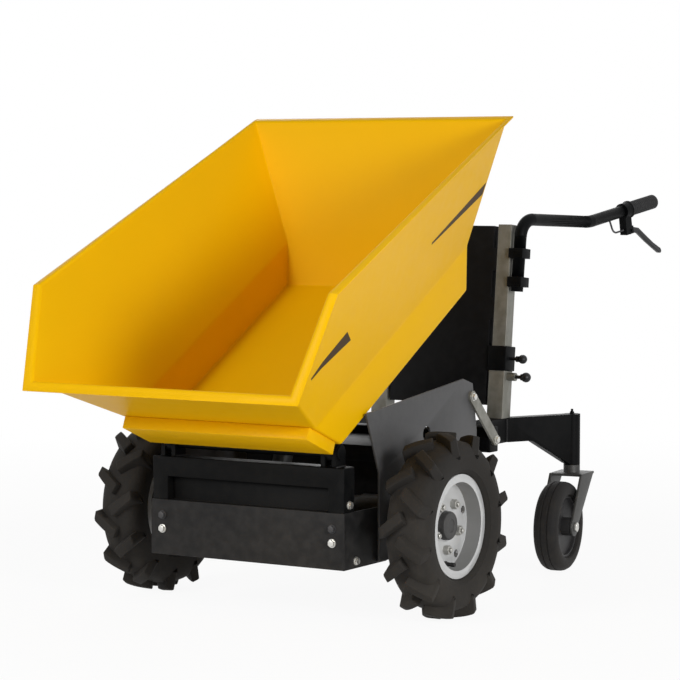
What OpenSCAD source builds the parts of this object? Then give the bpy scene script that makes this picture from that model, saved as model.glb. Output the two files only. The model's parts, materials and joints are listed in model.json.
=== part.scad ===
/* [Drive wheels] */
// Outside diameter over the tread bars.
tyre_d = 414; // [400:1:426]
// Width of the tyre at its bulge.
tyre_w = 104; // [98:1:110]
// Height of a tread bar above the carcass.
tyre_bar_h = 17; // [13:1:20]
// Thickness of a tread bar.
tyre_bar_w = 24; // [20:1:28]
// Length of tread that one slanted bar covers.
tyre_bar_sweep = 44; // [36:1:52]
// Tread bars on each side of a tyre.
tyre_bar_count = 12; // [11:1:13]
// Distance between the middles of the drive tyres.
track = 762; // [756:1:790]
// Diameter of the rim's bead seat.
rim_seat_d = 203; // [196:1:210]
// Height of the rim flange above the seat.
rim_flange_h = 14; // [10:1:18]
// Width of the rim over its flanges.
rim_w = 74; // [68:1:80]
// Thickness of the rim sheet.
rim_sheet = 4; // [3:0.5:5]
// Thickness of the wheel disc.
disc_t = 6; // [4:0.5:8]
// Centre hole of the wheel disc.
disc_hole_d = 64; // [58:1:68]
// Circle of the wheel nuts.
nut_circle_d = 108; // [100:1:112]
// Wheel nuts on each wheel.
nut_count = 5; // [4:1:5]
// Size of a wheel nut over its corners.
nut_d = 22; // [18:1:24]
// Height of a wheel nut.
nut_h = 13; // [10:1:16]
// Diameter of the hub barrel.
hub_d = 76; // [70:1:82]
// Diameter of the hub flange.
hub_flange_d = 142; // [134:1:150]
// Thickness of the hub flange.
hub_flange_t = 9; // [7:0.5:11]
// Length of the hub cap beyond the disc.
hub_cap_l = 16; // [12:1:20]
// Diameter of the half shaft.
half_shaft_d = 35; // [30:1:40]

/* [Casters] */
// Swivel axis, outside the upright on its side.
caster_x = 104; // [97:1:111]
// Swivel axis, behind the drive axle.
caster_y = 839; // [825:1:850]
// Diameter of a caster wheel.
caster_d = 220; // [212:1:226]
// Width of a caster tyre.
caster_w = 62; // [56:1:66]
// Depth of a caster tyre.
caster_tyre_h = 34; // [28:1:38]
// Distance of the caster axle from the swivel axis.
caster_trail = 94; // [86:1:98]
// Turn of the casters about the swivel axis.
caster_turn = 7; // [0:1:20]
// Outside diameter of the swivel tube.
swivel_d = 41; // [38:1:46]
// Top of the swivel tube above the ground.
swivel_top = 380; // [374:1:386]
// Bottom of the swivel tube above the ground.
swivel_low = 254; // [250:1:262]
// Height of the fork's neck under the swivel tube.
caster_neck = 20; // [16:1:22]
// Diameter of the caster stem.
stem_d = 25; // [22:1:28]
// Thickness of the fork plates.
fork_t = 6; // [5:0.5:7]
// Space between the fork legs and the caster tyre.
fork_gap = 6; // [4:0.5:8]
// Width of the fork crown along the trail.
crown_l = 90; // [82:1:96]
// Width of a fork leg at its rounded end.
fork_end_d = 46; // [40:1:50]
// Diameter of the caster axle.
caster_axle_d = 16; // [14:1:18]
// Thickness of the caster arm.
arm_w = 30; // [26:1:34]
// Depth of the caster arm at its front end.
arm_h = 60; // [54:1:66]

/* [Frame] */
// Half width of the frame between the side plates.
frame_half_w = 256; // [255:0.5:258]
// Front face of the front beam, ahead of the axle.
beam_front = 217; // [210:1:224]
// Depth of the front beam.
beam_w = 45; // [42:1:48]
// Height of the front beam.
beam_h = 45; // [40:1:50]
// Top of the front beam above the ground.
beam_top = 345; // [340:1:350]
// Ground clearance under the belly.
belly_z = 123; // [116:1:128]
// Height of the lower rails.
lower_rail_h = 20; // [16:1:22]
// Width of posts and lower rails.
post_w = 40; // [36:1:44]
// Front face of the rear cross tube, behind the axle.
rear_cross_y = 320; // [316:1:326]
// Top of the rear rails above the ground.
rail_top = 380; // [376:1:382]
// Height of the rear rails.
rail_h = 60; // [54:1:64]
// Width of the rear rails.
rail_w = 40; // [36:1:42]
// Length of the rear rails behind the upright axis.
rail_tail = 30; // [26:1:34]
// Position of the outriggers behind the axle.
outrigger_y = 425; // [415:1:435]
// Sheet of the front cover.
cover_sheet = 3; // [2:0.5:4]
// Height of the front cover.
cover_h = 124; // [118:1:130]
// Depth of the front cover's sides.
cover_l = 176; // [165:1:180]
// Thickness of the side plates.
plate_t = 6; // [4:0.5:8]
// Round hole in the side plates.
plate_hole_d = 34; // [28:1:40]
// Height of the side plates at their highest corner.
plate_top = 504; // [498:1:506]
// Rise of the side plates' top edge from front to back.
plate_rise = 47; // [40:1:54]
// Size of the bolt heads across their corners.
bolt_head_d = 16; // [13:1:19]
// Height of the bolt heads.
bolt_head_h = 7; // [5:0.5:9]
// Diameter of the rubber buffers.
buffer_d = 36; // [30:1:38]
// Width of the grey braces.
brace_w = 28; // [24:1:32]

/* [Battery box and motors] */
// Wall of the battery box.
box_wall = 3; // [2:0.5:4]
// Front of the battery box behind the axle.
box_front = 92; // [88:1:98]
// Half width of the battery box.
box_half_w = 206; // [200:1:210]
// Height of the battery box.
box_h = 196; // [186:1:202]
// Height of the battery lid.
lid_h = 18; // [14:1:20]
// Space round the batteries.
battery_gap = 4; // [3:0.5:6]
// Diameter of a battery terminal.
terminal_d = 14; // [10:1:18]
// Diameter of the motor can.
motor_d = 104; // [98:1:110]
// Diameter of the gear head.
gear_d = 114; // [108:1:116]
// Inner end of a motor, from the middle.
motor_in = 74; // [70:1:80]
// Length of the gear head.
gear_l = 84; // [76:1:92]
// Diameter of the gear head's nose.
nose_d = 88; // [82:1:94]
// Length of the gear head's nose beyond the side plate.
nose_l = 18; // [15:1:21]

/* [Tub] */
// Angle to which the tub is tipped in the photo.
tip_angle = 29.3; // [10:0.1:36]
// Length of the tub floor.
floor_l = 632; // [622:1:642]
// Width of the tub floor.
floor_w = 500; // [490:1:504]
// Height of the upright lower band of the walls.
band_h = 92; // [84:1:98]
// Reach of the lip ahead of the floor.
lip_reach = 240; // [230:1:250]
// Rise of the lip above the floor.
lip_rise = 266; // [258:1:274]
// Width over the lip.
lip_w = 706; // [696:1:716]
// Reach of the upper front corners ahead of the floor.
crest_reach = 52; // [44:1:60]
// Rise of the upper front corners above the floor.
crest_rise = 417; // [408:1:424]
// Width over the upper front corners.
crest_w = 784; // [774:1:794]
// Overhang of the rear edge behind the floor.
back_reach = 222; // [212:1:228]
// Rise of the rear edge above the floor.
back_rise = 339; // [332:1:346]
// Width over the rear edge.
back_w = 708; // [698:1:718]
// Thickness of the tub sheet.
tub_sheet = 4; // [3:0.5:5]
// Width of the folded rim.
rim_fold = 19; // [15:1:23]
// Thickness of the folded rim.
rim_fold_t = 5; // [4:0.5:6]
// Width of the folded rim where it meets the rear corners.
corner_fold = 6; // [5:0.5:10]
// Length of the channel under the nose.
channel_l = 484; // [474:1:490]
// Width of the channel under the nose.
channel_w = 112; // [104:1:120]
// Depth of the channel under the nose.
channel_h = 28; // [24:1:32]
// Distance of the channel from the floor edge.
channel_start = 16; // [12:1:24]
// Height of the floor ribs.
rib_h = 13; // [10:1:14]
// Width of the floor ribs.
rib_w = 36; // [30:1:40]
// Distance of the floor ribs from the middle.
rib_x = 96; // [90:1:102]

/* [Hinge and ram] */
// Height of the hinge axis above the front beam.
hinge_rise = 30.5; // [29:0.5:32]
// Hinge axis behind the floor's front edge.
hinge_back = 10; // [6:1:14]
// Hinge axis below the floor.
hinge_drop = 30; // [28.5:0.5:31.5]
// Diameter of the hinge shaft.
hinge_d = 25; // [22:1:26]
// Distance of the hinge lugs in from the frame's side.
lug_x = 44; // [40:1:48]
// Thickness of the hinge lugs.
lug_t = 16; // [14:1:18]
// Thickness of the hinge brackets.
bracket_t = 10; // [8:1:12]
// Gap between lugs and brackets.
lug_gap = 1; // [0.5:0.25:1.5]
// Wall round the hinge bores.
bore_wall = 8; // [6:0.5:9]
// Foot of the ram behind the front beam's front face.
ram_back = 67; // [65:1:72]
// Foot of the ram above the ground.
ram_z = 166; // [164:1:172]
// Diameter of the ram barrel.
barrel_d = 44; // [40:1:46]
// Length of the ram barrel.
barrel_l = 222; // [214:1:228]
// Diameter of the ram rod.
rod_d = 22; // [20:1:24]
// Diameter of the ram pins.
ram_pin_d = 16; // [14:1:17]
// Drop of the upper ram pin below the hinge line.
ram_pin_drop = 5; // [3:0.5:7]
// Travel of the pin in the slotted rod eye.
slot_l = 18; // [17:0.5:20]
// Diameter of the ram motor.
ram_motor_d = 40; // [36:1:42]

/* [Uprights and handle] */
// Distance of the uprights in from the frame's side.
upright_x = 91; // [88:1:94]
// Upright axis at the rail top, behind the axle.
upright_y = 645; // [640:1:655]
// Backward lean of the uprights.
lean = 6; // [5:0.5:7]
// Side of the square uprights.
upright_w = 36; // [32:1:38]
// Wall of the square uprights.
upright_wall = 3; // [2:0.5:4]
// Wall of the sleeves.
sleeve_wall = 3; // [2:0.5:4]
// Height of the sleeves above the rails.
sleeve_h = 116; // [110:1:124]
// Height of the collars.
collar_h = 60; // [52:1:64]
// Wall of the collars.
collar_wall = 6.5; // [6:0.5:8]
// Height of the uprights above the rails.
upright_top = 474; // [465:1:482]
// Bottom of the uprights inside the sleeves.
upright_low = 14; // [12:0.5:18]
// Slide clearance of the uprights in the sleeves.
slide_gap = 0.4; // [0.3:0.05:0.5]
// Upward travel of the handle.
handle_up = 60; // [50:1:66]
// Downward travel of the handle.
handle_down = 9; // [6:0.5:10]
// Diameter of the handlebar.
bar_d = 30; // [28:1:32]
// Gap between handlebar and upright.
bar_gap = 3; // [2:0.5:5]
// Distance of the handlebar ahead of the upright's axis.
bar_ahead = 6; // [4:0.5:8]
// Outward splay of the handlebars.
splay = 9.3; // [7:0.1:11]
// Lower end of the handlebar above the ground.
bar_low = 690; // [680:1:700]
// Height of the handlebar at its first bend.
bar_high = 866; // [860:1:874]
// Length of the handlebar's level part.
bar_run = 299; // [290:1:308]
// Fall of the handlebar's level part.
bar_fall = 11; // [8:1:14]
// Length of the handlebar's rear part, along the ground.
bar_reach = 280; // [272:1:288]
// Rise of the handlebar's rear part.
bar_rise = 48; // [42:1:54]
// Radius of the first bend.
bend_r = 46; // [42:1:52]
// Radius of the second bend.
bend_flat_r = 160; // [140:1:180]
// Swelling of a bend over the straight tube.
bend_swell = 0.3; // [0.25:0.05:0.5]
// Lap of a straight tube into its bend.
bend_lap = 2; // [1.5:0.25:2.5]
// Length of a grip.
grip_l = 112; // [106:1:118]
// Diameter of a grip.
grip_d = 37; // [35:1:39]
// Thickness of a bar clamp along the bar.
clamp_h = 24; // [20:1:28]
// Wall of a bar clamp round the bar.
clamp_wall = 6; // [5:0.5:7]

/* [Levers] */
// Distance of the lever pivot below the bar.
lever_drop = 54; // [50:1:58]
// Distance of the lever pivot ahead of the grip.
lever_ahead = 3; // [1:0.5:6]
// Length of a lever.
lever_l = 150; // [142:1:158]
// Thickness of a lever.
lever_t = 10; // [9:0.5:12]
// Diameter of the lever pivot.
lever_pin_d = 8; // [7:0.5:9]
// Cheek of the lever bracket.
cheek_t = 5; // [4:0.5:6]
// Length of the lever bracket's ring on the bar.
ring_l = 26; // [22:1:30]
// Diameter of the looped cable.
cable_d = 5; // [4.5:0.5:6]
// Bend radius of the looped cable.
cable_r = 20; // [18:0.5:22]

/* [Control box] */
// Gap between the box and the collars.
box_side_gap = 4; // [3:0.5:6]
// Depth of the control box.
ctrl_l = 104; // [96:1:112]
// Bottom of the control box above the rails.
ctrl_low = 30; // [24:1:40]
// Top of the control box above the rails.
ctrl_top = 470; // [462:1:474]
// Cable entry under the control box.
entry_d = 22; // [18:1:26]
// Thickness of the control panel.
panel_t = 4; // [3:0.5:5]
// Margin of the control panel.
panel_margin = 18; // [14:1:22]
// Diameter of the stop button.
stop_d = 40; // [36:1:44]
// Height of the stop button.
stop_h = 18; // [14:1:22]
// Travel of the stop button.
stop_travel = 6; // [5:0.5:8]
// Diameter of the stop button's stem.
stop_stem_d = 18; // [16:1:20]
// Diameter of the key barrel.
key_d = 20; // [18:1:22]
// Bore of the charging socket.
socket_d = 19; // [17:0.5:21]
// Depth of the charging socket.
socket_l = 18; // [16:1:20]
// Wall of the charging socket.
socket_wall = 6; // [5:0.5:8]
// Stand-out of the charging socket.
socket_out = 12; // [10:1:14]

/* [Knobs] */
// Diameter of the clamp knob.
knob_d = 22; // [20:1:25]
// Distance of the clamp knob from the collar.
knob_out = 34; // [30:1:38]
// Diameter of the clamp screw.
screw_d = 8; // [7:0.5:10]
// Diameter of the plunger knob.
pull_d = 25; // [22:1:28]
// Distance of the plunger knob from the sleeve.
pull_out = 48; // [42:1:52]
// Diameter of the plunger pin.
pull_pin_d = 9; // [8:0.5:10]
// Outside diameter of the plunger's guide.
guide_d = 20; // [18:1:22]
// Travel of the plunger.
pull_travel = 8; // [6:0.5:10]

/* [Clearances] */
// Radial clearance of running fits.
run_gap = 0.05; // [0.03:0.01:0.08]
// Gap round pieces seated in each other.
seat_gap = 0.2; // [0.1:0.05:0.3]
// Gap on each side of a loose slot.
slot_gap = 0.5; // [0.4:0.05:0.7]

/* [Hidden] */
$fn = 64;

wheel_r = tyre_d / 2;
half_track = track / 2;
crown_r = wheel_r - tyre_bar_h;
seat_r = rim_seat_d / 2;
flange_r = seat_r + rim_flange_h;
bead_half = rim_w / 2 - rim_sheet - seat_gap;
bulge_share = 0.56;
shoulder_share = 0.93;
crown_share = 0.6;
bar_root_share = 0.86;
bar_over_share = 0.08;
bar_half_y = (tyre_bar_sweep + tyre_bar_w) / 2;
bar_top = sqrt(wheel_r * wheel_r - bar_half_y * bar_half_y);
axle_z = wheel_r * cos(180 / tyre_bar_count - atan2(bar_half_y, bar_top));
gear_out = frame_half_w;
lug_at = frame_half_w - lug_x;
upright_at = frame_half_w - upright_x;
caster_at = upright_at + caster_x;
hub_in = frame_half_w + nose_l + lug_gap;

pivot_y = beam_w / 2 - beam_front;
pivot_z = beam_top + hinge_rise;
lug_r = hinge_d / 2 + bore_wall;
bracket_x = lug_t / 2 + lug_gap + bracket_t / 2;
buffer_h = pivot_z + hinge_drop - rail_top - slot_gap;
shaft_half = lug_at + bracket_x + bracket_t / 2;

back_y = floor_l + back_reach;
mouth_angle = atan2(crest_rise - lip_rise, lip_reach - crest_reach);
mouth_len = norm([crest_rise - lip_rise, lip_reach - crest_reach]);
top_angle = atan2(back_rise - crest_rise, back_y + crest_reach);
top_len = norm([back_rise - crest_rise, back_y + crest_reach]);
lip_y = rim_fold * cos(mouth_angle) - lip_reach;
lip_z = lip_rise + rim_fold * sin(mouth_angle);
rear_y = back_y - rim_fold * cos(top_angle);
rear_z = back_rise - rim_fold * sin(top_angle);
nose_k = lip_y / lip_z;
rear_k = (rear_y - floor_l) / rear_z;
nose_grow = norm([1, nose_k]);
rear_grow = norm([1, rear_k]);
nose_angle = atan2(1, nose_k);
fold_in = rim_fold + tub_sheet;
cavity_stretch = 1.15;

ram_y = ram_back - beam_front;
ram_r = norm([ram_y - pivot_y, ram_z - pivot_z]);
ram_pin_y = sqrt(ram_r * ram_r - ram_pin_drop * ram_pin_drop);
pin_y = pivot_y + ram_pin_y * cos(tip_angle) + ram_pin_drop * sin(tip_angle);
pin_z = pivot_z + ram_pin_y * sin(tip_angle) - ram_pin_drop * cos(tip_angle);
ram_angle = atan2(pin_z - ram_z, pin_y - ram_y);
ram_len = norm([pin_z - ram_z, pin_y - ram_y]);
eye_r = ram_pin_d / 2 + bore_wall;
eye_half = rod_d / 2;
foot_half = barrel_d / 2 - cheek_t;
rod_low_share = 0.4;
rod_low = barrel_l * rod_low_share;

rail_end = upright_y + rail_tail;
sleeve_in = upright_w / 2 + slide_gap;
sleeve_out = sleeve_in + sleeve_wall;
collar_out = sleeve_in + collar_wall;
pull_share = 0.88;
pull_z = sleeve_h * pull_share;
knob_z = sleeve_h + collar_h / 2;
ctrl_half = upright_at - collar_out - box_side_gap;
ctrl_front = -upright_w / 2;
ctrl_back = ctrl_front + ctrl_l;
panel_low_share = 0.536;
panel_low = ctrl_low + (ctrl_top - ctrl_low) * panel_low_share;
panel_half = ctrl_half - panel_margin;
switch_x = panel_half / 2;
switch_z = (panel_low + ctrl_top - panel_margin) / 2;
socket_z = (ctrl_low + panel_low) / 2;
switch_deep = ctrl_l / 2;

bar_r = bar_d / 2;
bar_x = upright_at + upright_w / 2 + bar_gap + bar_r;
bar_y = upright_y + (bar_low - rail_top) * tan(lean) - bar_ahead;
bar_path = [
  [0, bar_low],
  [(bar_high - bar_low) * tan(lean), bar_high],
  [bar_run, bar_high - bar_fall],
  [bar_run + bar_reach, bar_high - bar_fall + bar_rise]
];
bar_bends = [bend_r, bend_flat_r];
grip_angle = atan2(bar_rise, bar_reach);
ring_y = -grip_l - lug_gap;
pivot_at = -grip_l - lever_ahead;
lever_half = lever_t / 2;
slot_half = lever_half + slot_gap;
bracket_half = slot_half + cheek_t;
lever_pin_r = lever_pin_d / 2;
cable_y = ring_y - ring_l;
cable_z = cable_d - lever_drop;
cable_path = [
  [cable_y, cable_z],
  [cable_y - cable_r * 2.2, cable_z],
  [cable_y - cable_r * 2.9, -bar_r / 2]
];
lever_shares = [
  [-0.05, -0.05], [-0.05, 0.045], [0.1, 0.045], [0.26, 0], [0.46, -0.17], [0.66, -0.335], [0.86, -0.47],
  [0.885, -0.52], [0.86, -0.56], [0.8, -0.545], [0.62, -0.41], [0.42, -0.255], [0.22, -0.085], [0.08, -0.05]
];

caster_r = caster_d / 2;
caster_seat_r = caster_r - caster_tyre_h;
fork_half = caster_w / 2 + fork_gap;
crown_top = swivel_low - caster_neck;
crown_low = crown_top - fork_t;
arm_start = [upright_at, upright_y];
arm_span = norm([caster_at - upright_at, caster_y - upright_y]);
arm_toe = atan2(caster_at - upright_at, caster_y - upright_y);
arm_flat_share = 0.42;
stem_r = stem_d / 2;
swivel_cap = fork_t * 2;

post_out = frame_half_w - cover_sheet;
frame_low = belly_z + cover_sheet;
rail_low = rail_top - rail_h;
box_low = frame_low + lower_rail_h;
box_top = box_low + box_h;
box_back = rear_cross_y - battery_gap;
lid_top = box_top + lid_h;

tip_share = lever_shares[7];
lever_reach = (pivot_at + tip_share[0] * lever_l) * cos(grip_angle)
  + (lever_drop - tip_share[1] * lever_l) * sin(grip_angle);
front_end = pivot_y - tub_front();
rear_end = bar_y + (bar_run + bar_reach + lever_reach) * cos(splay);
origin_y = (front_end + rear_end) / 2;

function tub_front() = (lip_reach + hinge_back) * cos(tip_angle) + (lip_rise + hinge_drop) * sin(tip_angle);
function mix(a, b, k) = a + (b - a) * k;
function flip(p) = [-p[0], p[1], p[2]];
function unit(v) = v / norm(v);
function turn(a, b, c) = let (u = unit(b - a), v = unit(c - b)) atan2(u[0] * v[1] - u[1] * v[0], u * v);
function cut_back(a, b, c, r) = r * tan(abs(turn(a, b, c)) / 2);
function heading(a, b) = atan2(b[1] - a[1], b[0] - a[0]);
function scaled(shares, size) = [for (s = shares) s * size];

function shell_points(g, k) =
  let (
    half = floor_w / 2 - g,
    low_f = g * nose_k + g * nose_grow,
    low_r = floor_l + g * rear_k - g * rear_grow,
    band_f = [half, band_h * nose_k + g * nose_grow, band_h],
    band_r = [half, floor_l + band_h * rear_k - g * rear_grow, band_h],
    lip = mix(band_f, [lip_w / 2 - rim_fold - g, lip_y + g * nose_grow, lip_z], k),
    crest = mix(band_f, [crest_w / 2 - rim_fold - g, -crest_reach, crest_rise], k),
    rear = mix(band_r, [back_w / 2 - corner_fold - g, rear_y - g * rear_grow, rear_z], k)
  )
  [
    [-half, low_f, g], [half, low_f, g], [half, low_r, g], [-half, low_r, g],
    flip(band_f), band_f, band_r, flip(band_r),
    flip(lip), lip, crest, flip(crest), rear, flip(rear)
  ];

shell_faces = [
  [1, 2, 3, 0], [5, 6, 2, 1], [7, 4, 0, 3], [4, 5, 1, 0], [8, 9, 5, 4], [6, 7, 3, 2], [12, 13, 7, 6],
  [12, 6, 5], [10, 12, 5], [9, 10, 5], [13, 4, 7], [11, 4, 13], [8, 4, 11],
  [11, 10, 9, 8], [13, 12, 10, 11]
];

module place() {
  translate([0, -origin_y, 0])
    children();
}

module both() {
  children();
  mirror([1, 0, 0])
    children();
}

module across(h, r) {
  rotate([0, 90, 0])
    cylinder(h = h, r = r, center = true);
}

module block(x, y, z) {
  translate([x[0], y[0], z[0]])
    cube([x[1] - x[0], y[1] - y[0], z[1] - z[0]]);
}

module in_plane() {
  rotate([90, 0, 90])
    children();
}

module leg(a, b, r) {
  translate([a[0], a[1], 0])
    rotate([0, 0, heading(a, b)])
      rotate([0, 90, 0])
        cylinder(h = norm(b - a), r = r);
}

module elbow(a, b, c, bend, r) {
  angle = turn(a, b, c);
  u = unit(b - a);
  start = b - u * cut_back(a, b, c, bend);
  centre = start + [-u[1], u[0]] * bend * sign(angle);
  from = heading(centre, start);
  translate([centre[0], centre[1], 0])
    rotate([0, 0, angle > 0 ? from : from + angle])
      rotate_extrude(angle = abs(angle))
        translate([bend, 0])
          circle(r = r);
}

module bent_rod(path, bends, r) {
  last = len(path) - 1;
  for (i = [0 : last - 1]) {
    u = unit(path[i + 1] - path[i]);
    trim_a = i == 0 ? 0 : cut_back(path[i - 1], path[i], path[i + 1], bends[i - 1]) - bend_lap;
    trim_b = i == last - 1 ? 0 : cut_back(path[i], path[i + 1], path[i + 2], bends[i]) - bend_lap;
    leg(path[i] + u * trim_a, path[i + 1] - u * trim_b, r);
  }
  for (i = [1 : last - 1])
    elbow(path[i - 1], path[i], path[i + 1], bends[i - 1], r + bend_swell);
}

module tub_place() {
  translate([0, pivot_y, pivot_z])
    rotate([tip_angle, 0, 0])
      translate([0, -hinge_back, hinge_drop])
        children();
}

module ram_place() {
  translate([0, ram_y, ram_z])
    rotate([ram_angle - 90, 0, 0])
      children();
}

module wheel_place() {
  translate([half_track, 0, axle_z])
    children();
}

module caster_place() {
  translate([caster_at, caster_y, 0])
    rotate([0, 0, caster_turn])
      children();
}

module column_place() {
  translate([0, upright_y, rail_top])
    rotate([-lean, 0, 0])
      children();
}

module upright_place() {
  column_place()
    translate([upright_at, 0, 0])
      children();
}

module bar_place() {
  translate([bar_x, bar_y, 0])
    rotate([0, 0, -splay])
      children();
}

module grip_place() {
  bar_place()
    translate([0, bar_path[3][0], bar_path[3][1]])
      rotate([grip_angle, 0, 0])
        children();
}

module square_tube(outer, inner, low, high) {
  difference() {
    block([-outer, outer], [-outer, outer], [low, high]);
    block([-inner, inner], [-inner, inner], [low - outer, high + outer]);
  }
}

module hinge_bracket(x) {
  translate([x, pivot_y, pivot_z])
    difference() {
      union() {
        across(bracket_t, lug_r);
        block([-bracket_t / 2, bracket_t / 2], [-lug_r, lug_r], [-hinge_rise - beam_h / 2, 0]);
      }
      across(bracket_t * 2, hinge_d / 2 + run_gap);
    }
}

module ram_foot() {
  cheek = [foot_half + lug_gap, foot_half + lug_gap + bracket_t];
  difference() {
    both()
      block(cheek, [ram_y - eye_r, ram_y + eye_r], [frame_low, ram_z + eye_r]);
    translate([0, ram_y, ram_z])
      across(cheek[1] * 3, ram_pin_d / 2 + run_gap);
  }
}

module chassis_frame() {
  back = beam_w - beam_front;
  cross_back = rear_cross_y + rail_w;
  color("DimGray") {
    block([-post_out, post_out], [-beam_front, back], [beam_top - beam_h, beam_top]);
    block([-post_out, post_out], [back - beam_w / 2, ram_y + eye_r], [frame_low, box_low]);
    block([-frame_half_w, frame_half_w], [rear_cross_y, cross_back], [rail_low, rail_top]);
    for (y = [box_front, box_back - post_w])
      block([-post_out, post_out], [y, y + post_w], [frame_low, box_low]);
    for (x = [bracket_x, -bracket_x])
      both()
        hinge_bracket(lug_at + x);
    ram_foot();
    both() {
      block([post_out - post_w, post_out], [-beam_front, back], [frame_low, beam_top - beam_h / 2]);
      block([post_out - post_w, post_out], [back - beam_w / 2, cross_back], [frame_low, box_low]);
      block([frame_half_w - post_w, frame_half_w], [rear_cross_y, cross_back], [frame_low, rail_top]);
      block(
        [upright_at - rail_w / 2, upright_at + rail_w / 2],
        [rear_cross_y, rail_end],
        [rail_low, rail_top]
      );
      block(
        [upright_at, frame_half_w + plate_t],
        [outrigger_y, outrigger_y + rail_w],
        [rail_low, rail_top]
      );
    }
  }
}

module front_cover() {
  front = [-beam_front - cover_sheet, -beam_front];
  deep = [-beam_front - cover_sheet, cover_l - beam_front];
  high = [belly_z, belly_z + cover_h];
  lip = post_out - post_w - lug_gap;
  color("DarkSlateGray") {
    block([-frame_half_w, frame_half_w], front, high);
    block([-frame_half_w, frame_half_w], deep, [belly_z, frame_low]);
    block([-lip, lip], [front[0], pivot_y + cover_sheet], [high[1] - cover_sheet, high[1]]);
    block([-lip, lip], [pivot_y, pivot_y + cover_sheet], [high[1] - cover_sheet, beam_top - beam_h]);
    difference() {
      both()
        block([post_out, frame_half_w], deep, high);
      translate([0, 0, axle_z])
        across(frame_half_w * 3, gear_d / 2 + slot_gap);
    }
  }
}

module bolt_head() {
  cylinder(h = bolt_head_h, r = bolt_head_d / 2, $fn = 6);
  cylinder(h = bolt_head_h / 4, r = bolt_head_d * 0.62);
}

module cover_bolts() {
  low_z = belly_z + cover_h * 0.47;
  top_z = belly_z + cover_h * 0.72;
  color("Silver")
    both() {
      for (z = [low_z, top_z])
        translate([post_out - post_w * 0.7, -beam_front - cover_sheet, z])
          rotate([90, 0, 0])
            bolt_head();
      translate([frame_half_w, pivot_y + beam_w / 2, belly_z + bolt_head_d])
        rotate([0, 90, 0])
          bolt_head();
      translate([post_out, pivot_y, belly_z + cover_h + bolt_head_d])
        rotate([0, 90, 0])
          bolt_head();
    }
}

module side_plate_right() {
  front_low = cover_l - beam_front - post_w;
  front_top = front_low - post_w * 1.4;
  rear = rear_cross_y + rail_w;
  peak = rear - post_w * 1.6;
  color("DimGray")
    difference() {
      translate([frame_half_w, 0, 0])
        in_plane()
          linear_extrude(plate_t)
            polygon([
              [front_low, frame_low], [rear, frame_low], [rear, rail_top],
              [rear - post_w / 2, plate_top - post_w / 3], [peak, plate_top],
              [front_top, plate_top - plate_rise], [front_low, beam_top - beam_h / 2]
            ]);
      translate([frame_half_w, 0, axle_z])
        across(plate_t * 3, nose_d / 2 + slot_gap);
      translate([frame_half_w, box_front + plate_hole_d, rail_top + plate_hole_d / 3])
        across(plate_t * 3, plate_hole_d / 2);
    }
}

module side_plate_left() {
  mirror([1, 0, 0])
    side_plate_right();
}

module battery_box() {
  outer = [-box_half_w, box_half_w];
  color("DarkSlateGray")
    difference() {
      block(outer, [box_front, box_back], [box_low, box_top]);
      block(
        [outer[0] + box_wall, outer[1] - box_wall],
        [box_front + box_wall, box_back - box_wall],
        [box_low + box_wall, box_top + box_wall]
      );
    }
}

module battery_lid() {
  over = box_wall / 2;
  color("DarkSlateGray")
    difference() {
      block(
        [-box_half_w - over, box_half_w + over],
        [box_front - over, box_back + over],
        [box_top - lid_h, lid_top]
      );
      block(
        [-box_half_w - seat_gap, box_half_w + seat_gap],
        [box_front - seat_gap, box_back + seat_gap],
        [box_top - lid_h * 2, box_top]
      );
      block(
        [box_wall - box_half_w, box_half_w - box_wall],
        [box_front + box_wall, box_back - box_wall],
        [box_top - box_wall, lid_top - box_wall]
      );
    }
}

module batteries() {
  near = box_front + box_wall + battery_gap;
  far = box_back - box_wall - battery_gap;
  high = box_top - lid_h;
  color("DimGray")
    both() {
      block(
        [battery_gap, box_half_w - box_wall - battery_gap],
        [near, far],
        [box_low + box_wall, high]
      );
      for (y = [near + terminal_d * 2, far - terminal_d * 2])
        translate([box_half_w / 2, y, high - terminal_d / 2])
          cylinder(h = terminal_d * 1.5, r = terminal_d / 2);
    }
}

module drive_motor_right() {
  shaft_in = gear_out - gear_l / 4;
  color("DarkSlateGray")
    translate([0, 0, axle_z])
      rotate([0, 90, 0])
        difference() {
          union() {
            translate([0, 0, motor_in])
              cylinder(h = gear_out - gear_l / 2 - motor_in, r = motor_d / 2);
            translate([0, 0, gear_out - gear_l])
              cylinder(h = gear_l, r = gear_d / 2);
            translate([0, 0, gear_out - gear_l / 2])
              cylinder(h = gear_l / 2 + nose_l, r = nose_d / 2);
          }
          translate([0, 0, shaft_in])
            cylinder(h = gear_l + nose_l, r = half_shaft_d / 2 + run_gap);
        }
}

module drive_motor_left() {
  mirror([1, 0, 0])
    drive_motor_right();
}

module hinge_shaft() {
  cap = bracket_t / 3;
  color("Silver")
    translate([0, pivot_y, pivot_z]) {
      across((shaft_half + cap) * 2, hinge_d / 2);
      both()
        translate([shaft_half + cap / 2, 0, 0])
          across(cap, hinge_d / 2 + bore_wall / 2);
    }
}

module ram_foot_pin() {
  half = foot_half + lug_gap + bracket_t;
  cap = bracket_t / 3;
  color("Silver")
    translate([0, ram_y, ram_z]) {
      across((half + cap) * 2, ram_pin_d / 2);
      both()
        translate([half + cap / 2, 0, 0])
          across(cap, ram_pin_d / 2 + bore_wall / 2);
    }
}

module tub_buffers() {
  color("Black")
    both()
      translate([upright_at, rear_cross_y + rail_w / 2, rail_top])
        cylinder(h = buffer_h, r = buffer_d / 2);
}

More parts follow.
